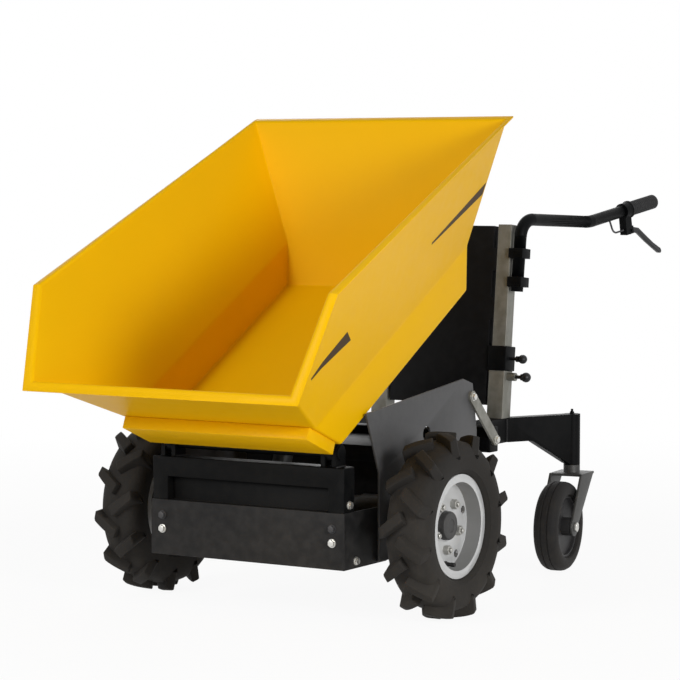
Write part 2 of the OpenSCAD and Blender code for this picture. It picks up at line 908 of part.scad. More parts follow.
module rear_braces() {
  top = [rear_cross_y + rail_w - brace_w, rail_top + post_w * 2];
  low = [outrigger_y + rail_w / 2, rail_low + rail_h / 2];
  reach = norm(low - top);
  color("Silver")
    both()
      translate([frame_half_w + plate_t, 0, 0])
        in_plane()
          translate([top[0], top[1], 0])
            rotate([0, 0, heading(top, low)])
              linear_extrude(plate_t) {
                translate([0, -brace_w / 2])
                  square([reach, brace_w]);
                circle(r = brace_w / 2);
                translate([reach, 0])
                  circle(r = brace_w / 2);
              }
}

module caster_arm_right() {
  flat = arm_span * arm_flat_share;
  low = swivel_low + fork_t / 2;
  color("DarkSlateGray") {
    difference() {
      translate([arm_start[0], arm_start[1], 0])
        rotate([0, 0, -arm_toe])
          translate([-arm_w / 2, 0, 0])
            in_plane()
              linear_extrude(arm_w)
                polygon([
                  [0, rail_top - arm_h], [flat, rail_top - arm_h], [arm_span - swivel_d / 2, low],
                  [arm_span, low], [arm_span, rail_top], [0, rail_top]
                ]);
      block(
        [upright_at - rail_w, upright_at + rail_w / 2],
        [outrigger_y, rail_end],
        [rail_low - rail_h, rail_top + rail_h]
      );
      translate([caster_at, caster_y, 0])
        cylinder(h = swivel_top * 2, r = swivel_d / 2);
    }
    translate([caster_at, caster_y, 0]) {
      difference() {
        translate([0, 0, swivel_low])
          cylinder(h = swivel_top - swivel_low, r = swivel_d / 2);
        translate([0, 0, swivel_low - stem_d])
          cylinder(h = swivel_top - swivel_low + stem_d - swivel_cap, r = stem_r + run_gap);
      }
      translate([0, 0, swivel_top]) {
        cylinder(h = swivel_cap, r = stem_r / 4);
        cylinder(h = swivel_cap / 2, r = stem_r / 2, $fn = 6);
      }
    }
  }
}

module caster_arm_left() {
  mirror([1, 0, 0])
    caster_arm_right();
}

module sleeve_right() {
  guide_l = pull_out / 2;
  color("Silver")
    difference() {
      upright_place()
        difference() {
          union() {
            square_tube(sleeve_out, sleeve_in, -sleeve_out, sleeve_h);
            translate([sleeve_in + guide_l / 2, 0, pull_z])
              across(guide_l, guide_d / 2);
          }
          translate([sleeve_in + guide_l / 2, 0, pull_z])
            across(guide_l * 2, pull_pin_d / 2 + run_gap);
        }
      block(
        [upright_at - rail_w, upright_at + rail_w],
        [upright_y - rail_w, upright_y + rail_w],
        [rail_low, rail_top]
      );
    }
}

module sleeve_left() {
  mirror([1, 0, 0])
    sleeve_right();
}

module collar_right() {
  color("DarkSlateGray")
    upright_place()
      difference() {
        square_tube(collar_out, sleeve_in, sleeve_h, sleeve_h + collar_h);
        translate([collar_out, 0, knob_z])
          across(collar_wall * 3, screw_d / 2 + run_gap);
      }
}

module collar_left() {
  mirror([1, 0, 0])
    collar_right();
}

module mouth_fold() {
  lip_in = lip_w / 2 - fold_in;
  crest_in = crest_w / 2 - fold_in;
  translate([0, -lip_reach, lip_rise])
    rotate([mouth_angle, 0, 0])
      translate([0, 0, -rim_fold_t])
        linear_extrude(rim_fold_t)
          difference() {
            polygon([[-lip_w / 2, 0], [lip_w / 2, 0], [crest_w / 2, mouth_len], [-crest_w / 2, mouth_len]]);
            polygon([
              [-lip_in, fold_in], [lip_in, fold_in],
              [crest_in, mouth_len + rim_fold], [-crest_in, mouth_len + rim_fold]
            ]);
          }
}

module top_fold() {
  back_in = back_w / 2 - corner_fold - tub_sheet;
  crest_in = crest_w / 2 - fold_in;
  translate([0, -crest_reach, crest_rise])
    rotate([top_angle, 0, 0])
      translate([0, 0, -rim_fold_t])
        linear_extrude(rim_fold_t)
          difference() {
            polygon([[-crest_w / 2, 0], [crest_w / 2, 0], [back_w / 2, top_len], [-back_w / 2, top_len]]);
            polygon([
              [-crest_in, -rim_fold], [crest_in, -rim_fold],
              [back_in, top_len - fold_in], [-back_in, top_len - fold_in]
            ]);
          }
}

module tub_shell() {
  color("Gold")
    tub_place() {
      difference() {
        polyhedron(shell_points(0, 1), shell_faces);
        polyhedron(shell_points(tub_sheet, cavity_stretch), shell_faces);
      }
      mouth_fold();
      top_fold();
    }
}

module nose_channel() {
  color("Gold")
    tub_place()
      rotate([nose_angle, 0, 0])
        difference() {
          block([-channel_l / 2, channel_l / 2], [channel_start, channel_start + channel_w], [0, channel_h]);
          block(
            [-channel_l / 2 + tub_sheet, channel_l / 2 - tub_sheet],
            [channel_start + tub_sheet, channel_start + channel_w - tub_sheet],
            [-channel_h, channel_h - tub_sheet]
          );
        }
}

module hinge_lugs() {
  color("Gold")
    tub_place()
      both()
        translate([lug_at, hinge_back, -hinge_drop])
          difference() {
            union() {
              across(lug_t, lug_r);
              block([-lug_t / 2, lug_t / 2], [-lug_r, lug_r], [0, hinge_drop]);
            }
            across(lug_t * 2, hinge_d / 2 + run_gap);
          }
}

module floor_ribs() {
  color("Gold")
    tub_place()
      both()
        block([rib_x - rib_w / 2, rib_x + rib_w / 2], [rib_w * 2, floor_l - rib_w], [-rib_h, 0]);
}

module ram_lug() {
  cheek = [eye_half + lug_gap, eye_half + lug_gap + bracket_t];
  color("Gold")
    tub_place()
      translate([0, hinge_back + ram_pin_y, -hinge_drop - ram_pin_drop]) {
        both() {
          block(cheek, [-eye_r, eye_r], [0, hinge_drop + ram_pin_drop]);
          translate([(cheek[0] + cheek[1]) / 2, 0, 0])
            across(bracket_t, eye_r);
        }
        across(cheek[1] * 2, ram_pin_d / 2);
      }
}

module tyre_right() {
  bulge_r = mix(flange_r, crown_r, bulge_share);
  half = tyre_w / 2;
  inner_x = -half * bar_over_share;
  bar_len = norm([half - inner_x, tyre_bar_sweep]);
  bar_angle = atan2(tyre_bar_sweep, half - inner_x);
  root = crown_r * bar_root_share;
  side = [
    [seat_r, bead_half], [flange_r + seat_gap, bead_half], [bulge_r, half],
    [crown_r * shoulder_share, half * shoulder_share], [crown_r, half * crown_share]
  ];
  color("DimGray")
    wheel_place() {
      rotate([0, 90, 0])
        rotate_extrude()
          polygon([
            side[0], side[1], side[2], side[3], side[4],
            [side[4][0], -side[4][1]], [side[3][0], -side[3][1]], [side[2][0], -side[2][1]],
            [side[1][0], -side[1][1]], [side[0][0], -side[0][1]]
          ]);
      for (s = [0, 1])
        mirror([s, 0, 0])
          for (i = [0 : tyre_bar_count - 1])
            rotate([(i + s / 2) * 360 / tyre_bar_count, 0, 0])
              translate([inner_x, -tyre_bar_sweep / 2, 0])
                rotate([0, 0, bar_angle])
                  block([0, bar_len - tyre_bar_w / 2], [-tyre_bar_w / 2, tyre_bar_w / 2], [root, bar_top]);
    }
}

module tyre_left() {
  mirror([1, 0, 0])
    tyre_right();
}

module rim_right() {
  half = rim_w / 2;
  inner_r = seat_r - rim_sheet;
  color("Silver")
    wheel_place()
      rotate([0, 90, 0])
        difference() {
          union() {
            rotate_extrude()
              polygon([
                [inner_r, -half], [flange_r, -half], [flange_r, rim_sheet - half], [seat_r, rim_sheet - half],
                [seat_r, half - rim_sheet], [flange_r, half - rim_sheet], [flange_r, half], [inner_r, half]
              ]);
            translate([0, 0, -disc_t])
              cylinder(h = disc_t, r = inner_r + rim_sheet / 2);
          }
          cylinder(h = rim_w, r = disc_hole_d / 2, center = true);
          for (i = [0 : nut_count - 1])
            rotate([0, 0, (i + 0.5) * 360 / nut_count])
              translate([(hub_flange_d / 2 + inner_r) / 2, 0, 0])
                cylinder(h = rim_w, r = (inner_r - hub_flange_d / 2) / 3, center = true);
        }
}

module rim_left() {
  mirror([1, 0, 0])
    rim_right();
}

module hub_right() {
  inner = hub_in - half_track;
  pilot_r = disc_hole_d / 2 - seat_gap;
  color("Silver")
    wheel_place()
      rotate([0, 90, 0]) {
        translate([0, 0, inner])
          cylinder(h = -disc_t - inner, r = hub_d / 2);
        translate([0, 0, -disc_t - hub_flange_t])
          cylinder(h = hub_flange_t, r = hub_flange_d / 2);
        translate([0, 0, -disc_t - hub_flange_t])
          cylinder(h = disc_t + hub_flange_t + hub_cap_l, r = pilot_r);
        translate([0, 0, inner - nose_l - gear_l / 6])
          cylinder(h = nose_l + gear_l / 3, r = half_shaft_d / 2);
        for (i = [0 : nut_count - 1])
          rotate([0, 0, i * 360 / nut_count])
            translate([nut_circle_d / 2, 0, 0]) {
              cylinder(h = nut_h, r = nut_d / 2, $fn = 6);
              cylinder(h = nut_h * 1.4, r = nut_d / 4);
            }
      }
}

module hub_left() {
  mirror([1, 0, 0])
    hub_right();
}

module fork_leg() {
  end_r = fork_end_d / 2;
  in_plane()
    linear_extrude(fork_t) {
      difference() {
        union() {
          polygon([
            [crown_l / 2, crown_top], [-crown_l / 2, crown_top], [-caster_trail - end_r, caster_r],
            [-caster_trail + end_r, caster_r]
          ]);
          translate([-caster_trail, caster_r])
            circle(r = end_r);
        }
        translate([-caster_trail, caster_r])
          circle(r = caster_axle_d / 2 + run_gap);
      }
    }
}

module caster_fork_right() {
  color("DimGray")
    caster_place() {
      block([-fork_half - fork_t, fork_half + fork_t], [-crown_l / 2, crown_l / 2], [crown_low, crown_top]);
      translate([0, 0, crown_low])
        cylinder(h = swivel_top - swivel_cap * 1.5 - crown_low, r = stem_r);
      translate([0, 0, crown_low])
        cylinder(h = swivel_low - lug_gap - crown_low, r = swivel_d / 2);
      translate([fork_half, 0, 0])
        fork_leg();
      translate([-fork_half - fork_t, 0, 0])
        fork_leg();
    }
}

module caster_fork_left() {
  mirror([1, 0, 0])
    caster_fork_right();
}

module caster_axle_right() {
  half = fork_half + fork_t;
  color("Silver")
    caster_place()
      translate([0, -caster_trail, caster_r]) {
        across(half * 2 + bolt_head_h, caster_axle_d / 2);
        both()
          translate([half, 0, 0])
            rotate([0, 90, 0])
              cylinder(h = bolt_head_h, r = caster_axle_d * 0.75, $fn = 6);
      }
}

module caster_axle_left() {
  mirror([1, 0, 0])
    caster_axle_right();
}

module caster_tyre_right() {
  half = caster_w / 2;
  color("DimGray")
    caster_place()
      translate([0, -caster_trail, caster_r])
        rotate([0, 90, 0])
          rotate_extrude()
            polygon([
              [caster_seat_r, -half * 0.7], [caster_r - half * 0.9, -half],
              [caster_r - half / 3, -half * 0.88], [caster_r, -half * 0.4],
              [caster_r, half * 0.4], [caster_r - half / 3, half * 0.88],
              [caster_r - half * 0.9, half], [caster_seat_r, half * 0.7]
            ]);
}

module caster_tyre_left() {
  mirror([1, 0, 0])
    caster_tyre_right();
}

module caster_centre_right() {
  half = caster_w / 2;
  hub_r = caster_axle_d * 1.4;
  color("DimGray")
    caster_place()
      translate([0, -caster_trail, caster_r])
        difference() {
          union() {
            across(half * 1.4, caster_seat_r);
            across(fork_half * 2 - lug_gap * 2, hub_r);
          }
          both()
            translate([half * 0.8, 0, 0])
              rotate([0, 90, 0])
                difference() {
                  translate([0, 0, -half * 0.4])
                    cylinder(h = half, r = caster_seat_r - rim_sheet * 1.5);
                  translate([0, 0, -half])
                    cylinder(h = half * 2, r = hub_r);
                }
          across(fork_half * 4, caster_axle_d / 2 + run_gap);
        }
}

module caster_centre_left() {
  mirror([1, 0, 0])
    caster_centre_right();
}

module handle_uprights() {
  inner = upright_w / 2 - upright_wall;
  pin_r = pull_pin_d / 2 + slot_gap;
  color("Silver")
    both()
      upright_place()
        difference() {
          block([-upright_w / 2, upright_w / 2], [-upright_w / 2, upright_w / 2], [upright_low, upright_top]);
          block([-inner, inner], [-inner, inner], [upright_low - upright_w, upright_top - upright_wall]);
          block(
            [inner - upright_wall, upright_w],
            [-pin_r, pin_r],
            [pull_z - handle_up - pin_r, pull_z + handle_down + pin_r]
          );
        }
}

module control_box() {
  lug_h = (ctrl_top - ctrl_low) / 8;
  lug_low = sleeve_h + collar_h + handle_down + lug_h;
  color("DarkSlateGray")
    column_place()
      difference() {
        union() {
          difference() {
            block([-ctrl_half, ctrl_half], [ctrl_front, ctrl_back], [ctrl_low, ctrl_top]);
            block(
              [box_wall - ctrl_half, ctrl_half - box_wall],
              [ctrl_front + box_wall, ctrl_back - box_wall],
              [ctrl_low + box_wall, ctrl_top - box_wall]
            );
          }
          for (z = [lug_low, ctrl_top - lug_h * 2])
            both()
              block(
                [ctrl_half - box_wall, upright_at - upright_w / 2],
                [ctrl_front, upright_w / 2],
                [z, z + lug_h]
              );
          translate([0, ctrl_back - socket_l, socket_z])
            rotate([-90, 0, 0])
              cylinder(h = socket_l + socket_out, r = socket_d / 2 + socket_wall);
          for (x = [switch_x, -switch_x])
            translate([x, ctrl_back - switch_deep, switch_z])
              rotate([-90, 0, 0])
                cylinder(h = switch_deep - box_wall / 2, r = key_d / 2 + socket_wall);
        }
        translate([0, ctrl_front + ctrl_l / 2, ctrl_low])
          cylinder(h = box_wall * 3, r = entry_d / 2, center = true);
        translate([0, ctrl_back + socket_out - socket_l, socket_z])
          rotate([-90, 0, 0])
            cylinder(h = socket_l * 2, r = socket_d / 2);
        translate([switch_x, ctrl_back - switch_deep, switch_z])
          rotate([-90, 0, 0])
            cylinder(h = ctrl_l, r = stop_stem_d / 2 + run_gap);
        translate([-switch_x, ctrl_back - switch_deep, switch_z])
          rotate([-90, 0, 0])
            cylinder(h = ctrl_l, r = key_d / 2 + run_gap);
      }
}

module control_panel() {
  color("DimGray")
    column_place()
      difference() {
        block(
          [-panel_half, panel_half],
          [ctrl_back, ctrl_back + panel_t],
          [panel_low, ctrl_top - panel_margin]
        );
        translate([switch_x, 0, switch_z])
          rotate([-90, 0, 0])
            cylinder(h = ctrl_l * 2, r = stop_stem_d / 2 + slot_gap);
        translate([-switch_x, 0, switch_z])
          rotate([-90, 0, 0])
            cylinder(h = ctrl_l * 2, r = key_d / 2 + slot_gap);
      }
}

module handlebar_right() {
  color("DarkSlateGray")
    bar_place()
      in_plane()
        bent_rod(bar_path, bar_bends, bar_r);
}

module handlebar_left() {
  mirror([1, 0, 0])
    handlebar_right();
}

module bar_clamps() {
  high = bar_high - rail_top - bend_r - clamp_h * 1.5;
  low = bar_low - rail_top + clamp_h;
  half_y = bar_r + clamp_wall;
  color("Silver")
    both()
      difference() {
        upright_place()
          for (z = [low, high])
            block(
              [upright_w / 2, upright_w / 2 + bar_gap + bar_d + clamp_wall],
              [-half_y - bar_ahead, half_y - bar_ahead],
              [z - clamp_h / 2, z + clamp_h / 2]
            );
        bar_place()
          in_plane()
            leg(bar_path[0] - unit(bar_path[1] - bar_path[0]) * clamp_h, bar_path[1], bar_r + run_gap);
      }
}

module grip_right() {
  color("DimGray")
    grip_place()
      rotate([-90, 0, 0])
        difference() {
          union() {
            translate([0, 0, -grip_l])
              cylinder(h = grip_l + rim_sheet, r = grip_d / 2);
            translate([0, 0, -grip_l])
              cylinder(h = rim_sheet, r = grip_d / 2 + rim_sheet);
          }
          translate([0, 0, -grip_l * 2])
            cylinder(h = grip_l * 2 + run_gap, r = bar_r + run_gap);
        }
}

module grip_left() {
  mirror([1, 0, 0])
    grip_right();
}

module lever_bracket_right() {
  low = -lever_drop - lever_pin_d;
  front = ring_y - ring_l;
  color("DarkSlateGray")
    grip_place() {
      difference() {
        union() {
          translate([0, front, 0])
            rotate([-90, 0, 0])
              cylinder(h = ring_l, r = bar_r + cheek_t);
          block([-bracket_half, bracket_half], [front, ring_y], [low, 0]);
          block(
            [-bracket_half, bracket_half],
            [ring_y - lug_gap, pivot_at + lever_pin_d],
            [low, lever_pin_d * 1.5 - lever_drop]
          );
        }
        translate([0, front - ring_l, 0])
          rotate([-90, 0, 0])
            cylinder(h = ring_l * 3, r = bar_r + run_gap);
        block(
          [-slot_half, slot_half],
          [pivot_at - lever_pin_d * 2, grip_l],
          [low * 2, lever_pin_d * 2 - lever_drop]
        );
      }
      translate([0, pivot_at, -lever_drop])
        across(bracket_half * 2 + cheek_t, lever_pin_r);
    }
}

module lever_bracket_left() {
  mirror([1, 0, 0])
    lever_bracket_right();
}

module lever_cables() {
  color("DimGray")
    both()
      difference() {
        grip_place()
          in_plane()
            bent_rod(cable_path, [cable_r], cable_d / 2);
        grip_place()
          translate([0, -grip_l * 2, 0])
            rotate([-90, 0, 0])
              cylinder(h = grip_l * 2, r = bar_r);
      }
}

module lever_right() {
  color("DimGray")
    grip_place()
      translate([-lever_half, pivot_at, -lever_drop])
        in_plane()
          difference() {
            union() {
              linear_extrude(lever_t)
                polygon(scaled(lever_shares, lever_l));
              cylinder(h = lever_t, r = lever_pin_d * 1.25);
            }
            translate([0, 0, -lever_t])
              cylinder(h = lever_t * 3, r = lever_pin_r + run_gap);
          }
}

module lever_left() {
  mirror([1, 0, 0])
    lever_right();
}

module clamp_knob_right() {
  color("Black")
    upright_place()
      translate([sleeve_in, 0, knob_z])
        rotate([0, 90, 0]) {
          cylinder(h = collar_wall + knob_out, r = screw_d / 2);
          translate([0, 0, collar_wall + knob_out / 2])
            cylinder(h = knob_out / 4, r = screw_d);
          translate([0, 0, collar_wall + knob_out - knob_d / 2])
            cylinder(h = knob_d, r = knob_d / 2);
        }
}

module clamp_knob_left() {
  mirror([1, 0, 0])
    clamp_knob_right();
}

module plunger_right() {
  color("Black")
    upright_place()
      translate([upright_w / 2 - upright_wall * 1.5, 0, pull_z])
        rotate([0, 90, 0]) {
          cylinder(h = pull_out + upright_wall * 2, r = pull_pin_d / 2);
          translate([0, 0, pull_out])
            cylinder(h = pull_d * 0.8, r = pull_d / 2);
        }
}

module plunger_left() {
  mirror([1, 0, 0])
    plunger_right();
}

module stop_button() {
  color("Red")
    column_place()
      translate([switch_x, ctrl_back, switch_z])
        rotate([-90, 0, 0]) {
          translate([0, 0, stop_travel * 2 - switch_deep])
            cylinder(h = switch_deep + panel_t, r = stop_stem_d / 2);
          translate([0, 0, panel_t + stop_travel + lug_gap])
            cylinder(h = stop_h, r = stop_d / 2);
        }
}

module key_switch() {
  color("Silver")
    column_place()
      translate([-switch_x, ctrl_back, switch_z])
        rotate([-90, 0, 0]) {
          translate([0, 0, -switch_deep / 2])
            cylinder(h = switch_deep / 2 + panel_t * 2, r = key_d / 2);
          block([-key_d / 8, key_d / 8], [-key_d / 2, key_d / 2], [0, panel_t * 2 + key_d]);
        }
}

module ram_barrel() {
  side = barrel_d / 2 + ram_motor_d / 2 + cheek_t / 2;
  clear_r = norm([eye_r, eye_r]) + lug_gap;
  color("Gray")
    ram_place()
      difference() {
        union() {
          across(foot_half * 2, eye_r);
          cylinder(h = barrel_l, r = barrel_d / 2);
          block([0, side], [-ram_motor_d / 2, ram_motor_d / 2], [clear_r, clear_r + ram_motor_d / 2]);
          translate([side, 0, clear_r])
            cylinder(h = barrel_l / 2, r = ram_motor_d / 2);
        }
        for (s = [-1, 1])
          translate([s * barrel_d, 0, 0])
            across(barrel_d * 2 - foot_half * 2, clear_r);
        translate([0, 0, clear_r])
          cylinder(h = barrel_l, r = rod_d / 2 + run_gap);
        across(barrel_d * 2, ram_pin_d / 2 + run_gap);
      }
}

module ram_rod() {
  color("Silver")
    ram_place()
      difference() {
        union() {
          translate([0, 0, rod_low])
            cylinder(h = ram_len - slot_l - eye_r / 2 - rod_low, r = rod_d / 2);
          for (z = [ram_len - slot_l, ram_len])
            translate([0, 0, z])
              across(eye_half * 2, eye_r);
          block([-eye_half, eye_half], [-eye_r, eye_r], [ram_len - slot_l, ram_len]);
        }
        for (z = [ram_len - slot_l, ram_len])
          translate([0, 0, z])
            across(eye_half * 3, ram_pin_d / 2 + slot_gap);
        block(
          [-eye_half * 2, eye_half * 2],
          [-ram_pin_d / 2 - slot_gap, ram_pin_d / 2 + slot_gap],
          [ram_len - slot_l, ram_len]
        );
      }
}

place() chassis_frame();
place() front_cover();
place() cover_bolts();
place() side_plate_left();
place() side_plate_right();
place() battery_box();
place() battery_lid();
place() batteries();
place() drive_motor_left();
place() drive_motor_right();
place() hinge_shaft();
place() ram_foot_pin();
place() tub_buffers();
place() rear_braces();
place() caster_arm_left();
place() caster_arm_right();
place() sleeve_left();
place() sleeve_right();
place() collar_left();
place() collar_right();
place() tub_shell();
place() nose_channel();
place() hinge_lugs();
place() floor_ribs();
place() ram_lug();
place() tyre_left();
place() tyre_right();
place() rim_left();
place() rim_right();
place() hub_left();
place() hub_right();
place() caster_fork_left();
place() caster_fork_right();
place() caster_axle_left();
place() caster_axle_right();
place() caster_tyre_left();
place() caster_tyre_right();
place() caster_centre_left();
place() caster_centre_right();
place() handle_uprights();
place() control_box();
place() control_panel();
place() handlebar_left();
place() handlebar_right();
place() bar_clamps();
place() grip_left();
place() grip_right();
place() lever_bracket_left();
place() lever_bracket_right();
place() lever_cables();
place() lever_left();
place() lever_right();
place() clamp_knob_left();
place() clamp_knob_right();
place() plunger_left();
place() plunger_right();
place() stop_button();
place() key_switch();
place() ram_barrel();
place() ram_rod();
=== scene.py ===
"""Dresses the concrete buggy: finishes, bent sheet, rounded edges, turned details and a plain studio."""
import json
import logging
from dataclasses import dataclass, field
from enum import Enum, IntEnum
from math import copysign, cos, pi, radians, sin, tan
from typing import Callable, Iterable, Mapping, Sequence

import bmesh
import bpy
from mathutils import Matrix, Vector

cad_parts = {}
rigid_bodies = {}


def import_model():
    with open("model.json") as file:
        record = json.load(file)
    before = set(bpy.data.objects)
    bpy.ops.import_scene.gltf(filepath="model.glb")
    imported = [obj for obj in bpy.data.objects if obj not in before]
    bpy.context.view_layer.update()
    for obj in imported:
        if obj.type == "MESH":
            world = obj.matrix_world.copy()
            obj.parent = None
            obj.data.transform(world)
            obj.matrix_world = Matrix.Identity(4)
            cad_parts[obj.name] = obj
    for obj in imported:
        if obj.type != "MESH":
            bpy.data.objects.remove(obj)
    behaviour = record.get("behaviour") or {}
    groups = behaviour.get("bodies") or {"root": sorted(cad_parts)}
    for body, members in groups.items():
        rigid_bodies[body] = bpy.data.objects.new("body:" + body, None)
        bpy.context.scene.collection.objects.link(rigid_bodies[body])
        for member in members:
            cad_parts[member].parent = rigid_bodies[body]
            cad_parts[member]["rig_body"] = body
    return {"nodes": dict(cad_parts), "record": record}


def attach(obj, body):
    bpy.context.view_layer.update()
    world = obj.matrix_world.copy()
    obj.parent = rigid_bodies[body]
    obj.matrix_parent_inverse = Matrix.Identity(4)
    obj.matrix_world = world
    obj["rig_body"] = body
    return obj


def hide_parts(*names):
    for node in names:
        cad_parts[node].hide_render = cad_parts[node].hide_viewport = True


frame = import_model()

LOG = logging.getLogger("buggy")
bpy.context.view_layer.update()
DOUBLES = 1e-6
CUT_SLACK = 1e-7
EVEN = (1.0, 1.0, 1.0)
Colour = tuple[int, int, int]
Point = tuple[float, float, float]
Profile = Sequence[tuple[float, float]]
Socket = bpy.types.NodeSocket
Sockets = Mapping[str | int, object]


class Side(Enum):
    """The two sides of the machine, as seen from its front."""

    LEFT = -1.0
    RIGHT = 1.0

    @property
    def tag(self) -> str:
        """The side's name as the CAD nodes write it."""
        return self.name.lower()


class Facets(IntEnum):
    """How many flats a turned shape has, by how large it shows."""

    BEAD = 8
    STEM = 16
    DOME = 20
    WASHER = 28
    KNOB = 32
    BEZEL = 40
    TURNED = 48
    CASTER = 72
    TYRE = 96


def both(*names: str) -> list[str]:
    """The left and right names of nodes that stand on both sides."""
    return [f"{name}_{side.tag}" for name in names for side in Side]


def linear(rgb: Colour) -> tuple[float, float, float, float]:
    """Turns a screen colour into the linear one that sockets take, by the sRGB curve.

    Args:
        rgb: Red, green and blue from 0 to 255.

    Returns:
        The linear colour with full alpha.
    """
    parts = [c / 255 for c in rgb]
    return (*[c / 12.92 if c <= 0.04045 else ((c + 0.055) / 1.055) ** 2.4 for c in parts], 1.0)


def whole_outline(half: Profile) -> list[tuple[float, float]]:
    """The closed outline of a tyre, from one half of it."""
    return [*half, *[(-height, radius) for height, radius in reversed(half)], half[0]]


def shift(x: float, y: float, z: float) -> Matrix:
    """A move along the three axes."""
    return Matrix.Translation((x, y, z))


def spin(angle: float, axis: str) -> Matrix:
    """A turn round one axis, which is given by its letter."""
    return Matrix.Rotation(angle, 4, axis)


def linked(name: str, data: bpy.types.ID) -> bpy.types.Object:
    """Makes an object and links it to the scene.

    Args:
        name: The object's name.
        data: Its mesh, curve, lamp or camera.

    Returns:
        The object.
    """
    made = bpy.data.objects.new(name, data)
    bpy.context.scene.collection.objects.link(made)
    return made


def aim(thing: bpy.types.Object, at: Point, towards: Point) -> None:
    """Puts a camera or a lamp at one place and turns it to another."""
    thing.location = at
    thing.rotation_euler = (Vector(towards) - Vector(at)).to_track_quat("-Z", "Y").to_euler()


class Tree:
    """Short calls for filling one node tree."""

    def __init__(self, tree: bpy.types.NodeTree) -> None:
        """Keeps the tree that the other calls fill."""
        self.tree = tree

    def feed(self, node: bpy.types.Node, sockets: Sockets) -> None:
        """Fills a node's inputs.

        Args:
            node: The node.
            sockets: Input socket to a plain value or to the output socket that feeds it.
        """
        for key, value in sockets.items():
            if isinstance(value, Socket):
                self.tree.links.new(value, node.inputs[key])
            else:
                node.inputs[key].default_value = value

    def add(self, kind: str, sockets: Sockets | None = None, **props: object) -> bpy.types.Node:
        """Adds a node.

        Args:
            kind: The node's type name.
            sockets: What its inputs get, as feed takes it.
            **props: Settings of the node itself.

        Returns:
            The new node.
        """
        node = self.tree.nodes.new(kind)
        for key, value in props.items():
            setattr(node, key, value)
        self.feed(node, sockets or {})
        return node

    def math(self, operation: str, a: object, b: object, clamp: bool = False) -> Socket:
        """Adds a Math node and returns its result."""
        return self.add("ShaderNodeMath", {0: a, 1: b}, operation=operation, use_clamp=clamp).outputs[0]

    def ramp(self, value: object, low: float, high: float) -> Socket:
        """Stretches a value so that low gives 0 and high gives 1, and returns the result."""
        node = self.add("ShaderNodeMapRange", {"Value": value, "From Min": low, "From Max": high})
        return node.outputs["Result"]

    def mix(self, factor: object, a: object, b: object) -> Socket:
        """Adds a mix of the two colours on sockets 6 and 7 and returns its colour, from socket 2."""
        return self.add("ShaderNodeMix", {0: factor, 6: a, 7: b}, data_type="RGBA").outputs[2]

    def noise(self, vector: Socket, scale: object, detail: float) -> Socket:
        """Adds a noise texture and returns its value."""
        node = self.add("ShaderNodeTexNoise", {"Vector": vector, "Scale": scale, "Detail": detail})
        return node.outputs["Fac"]


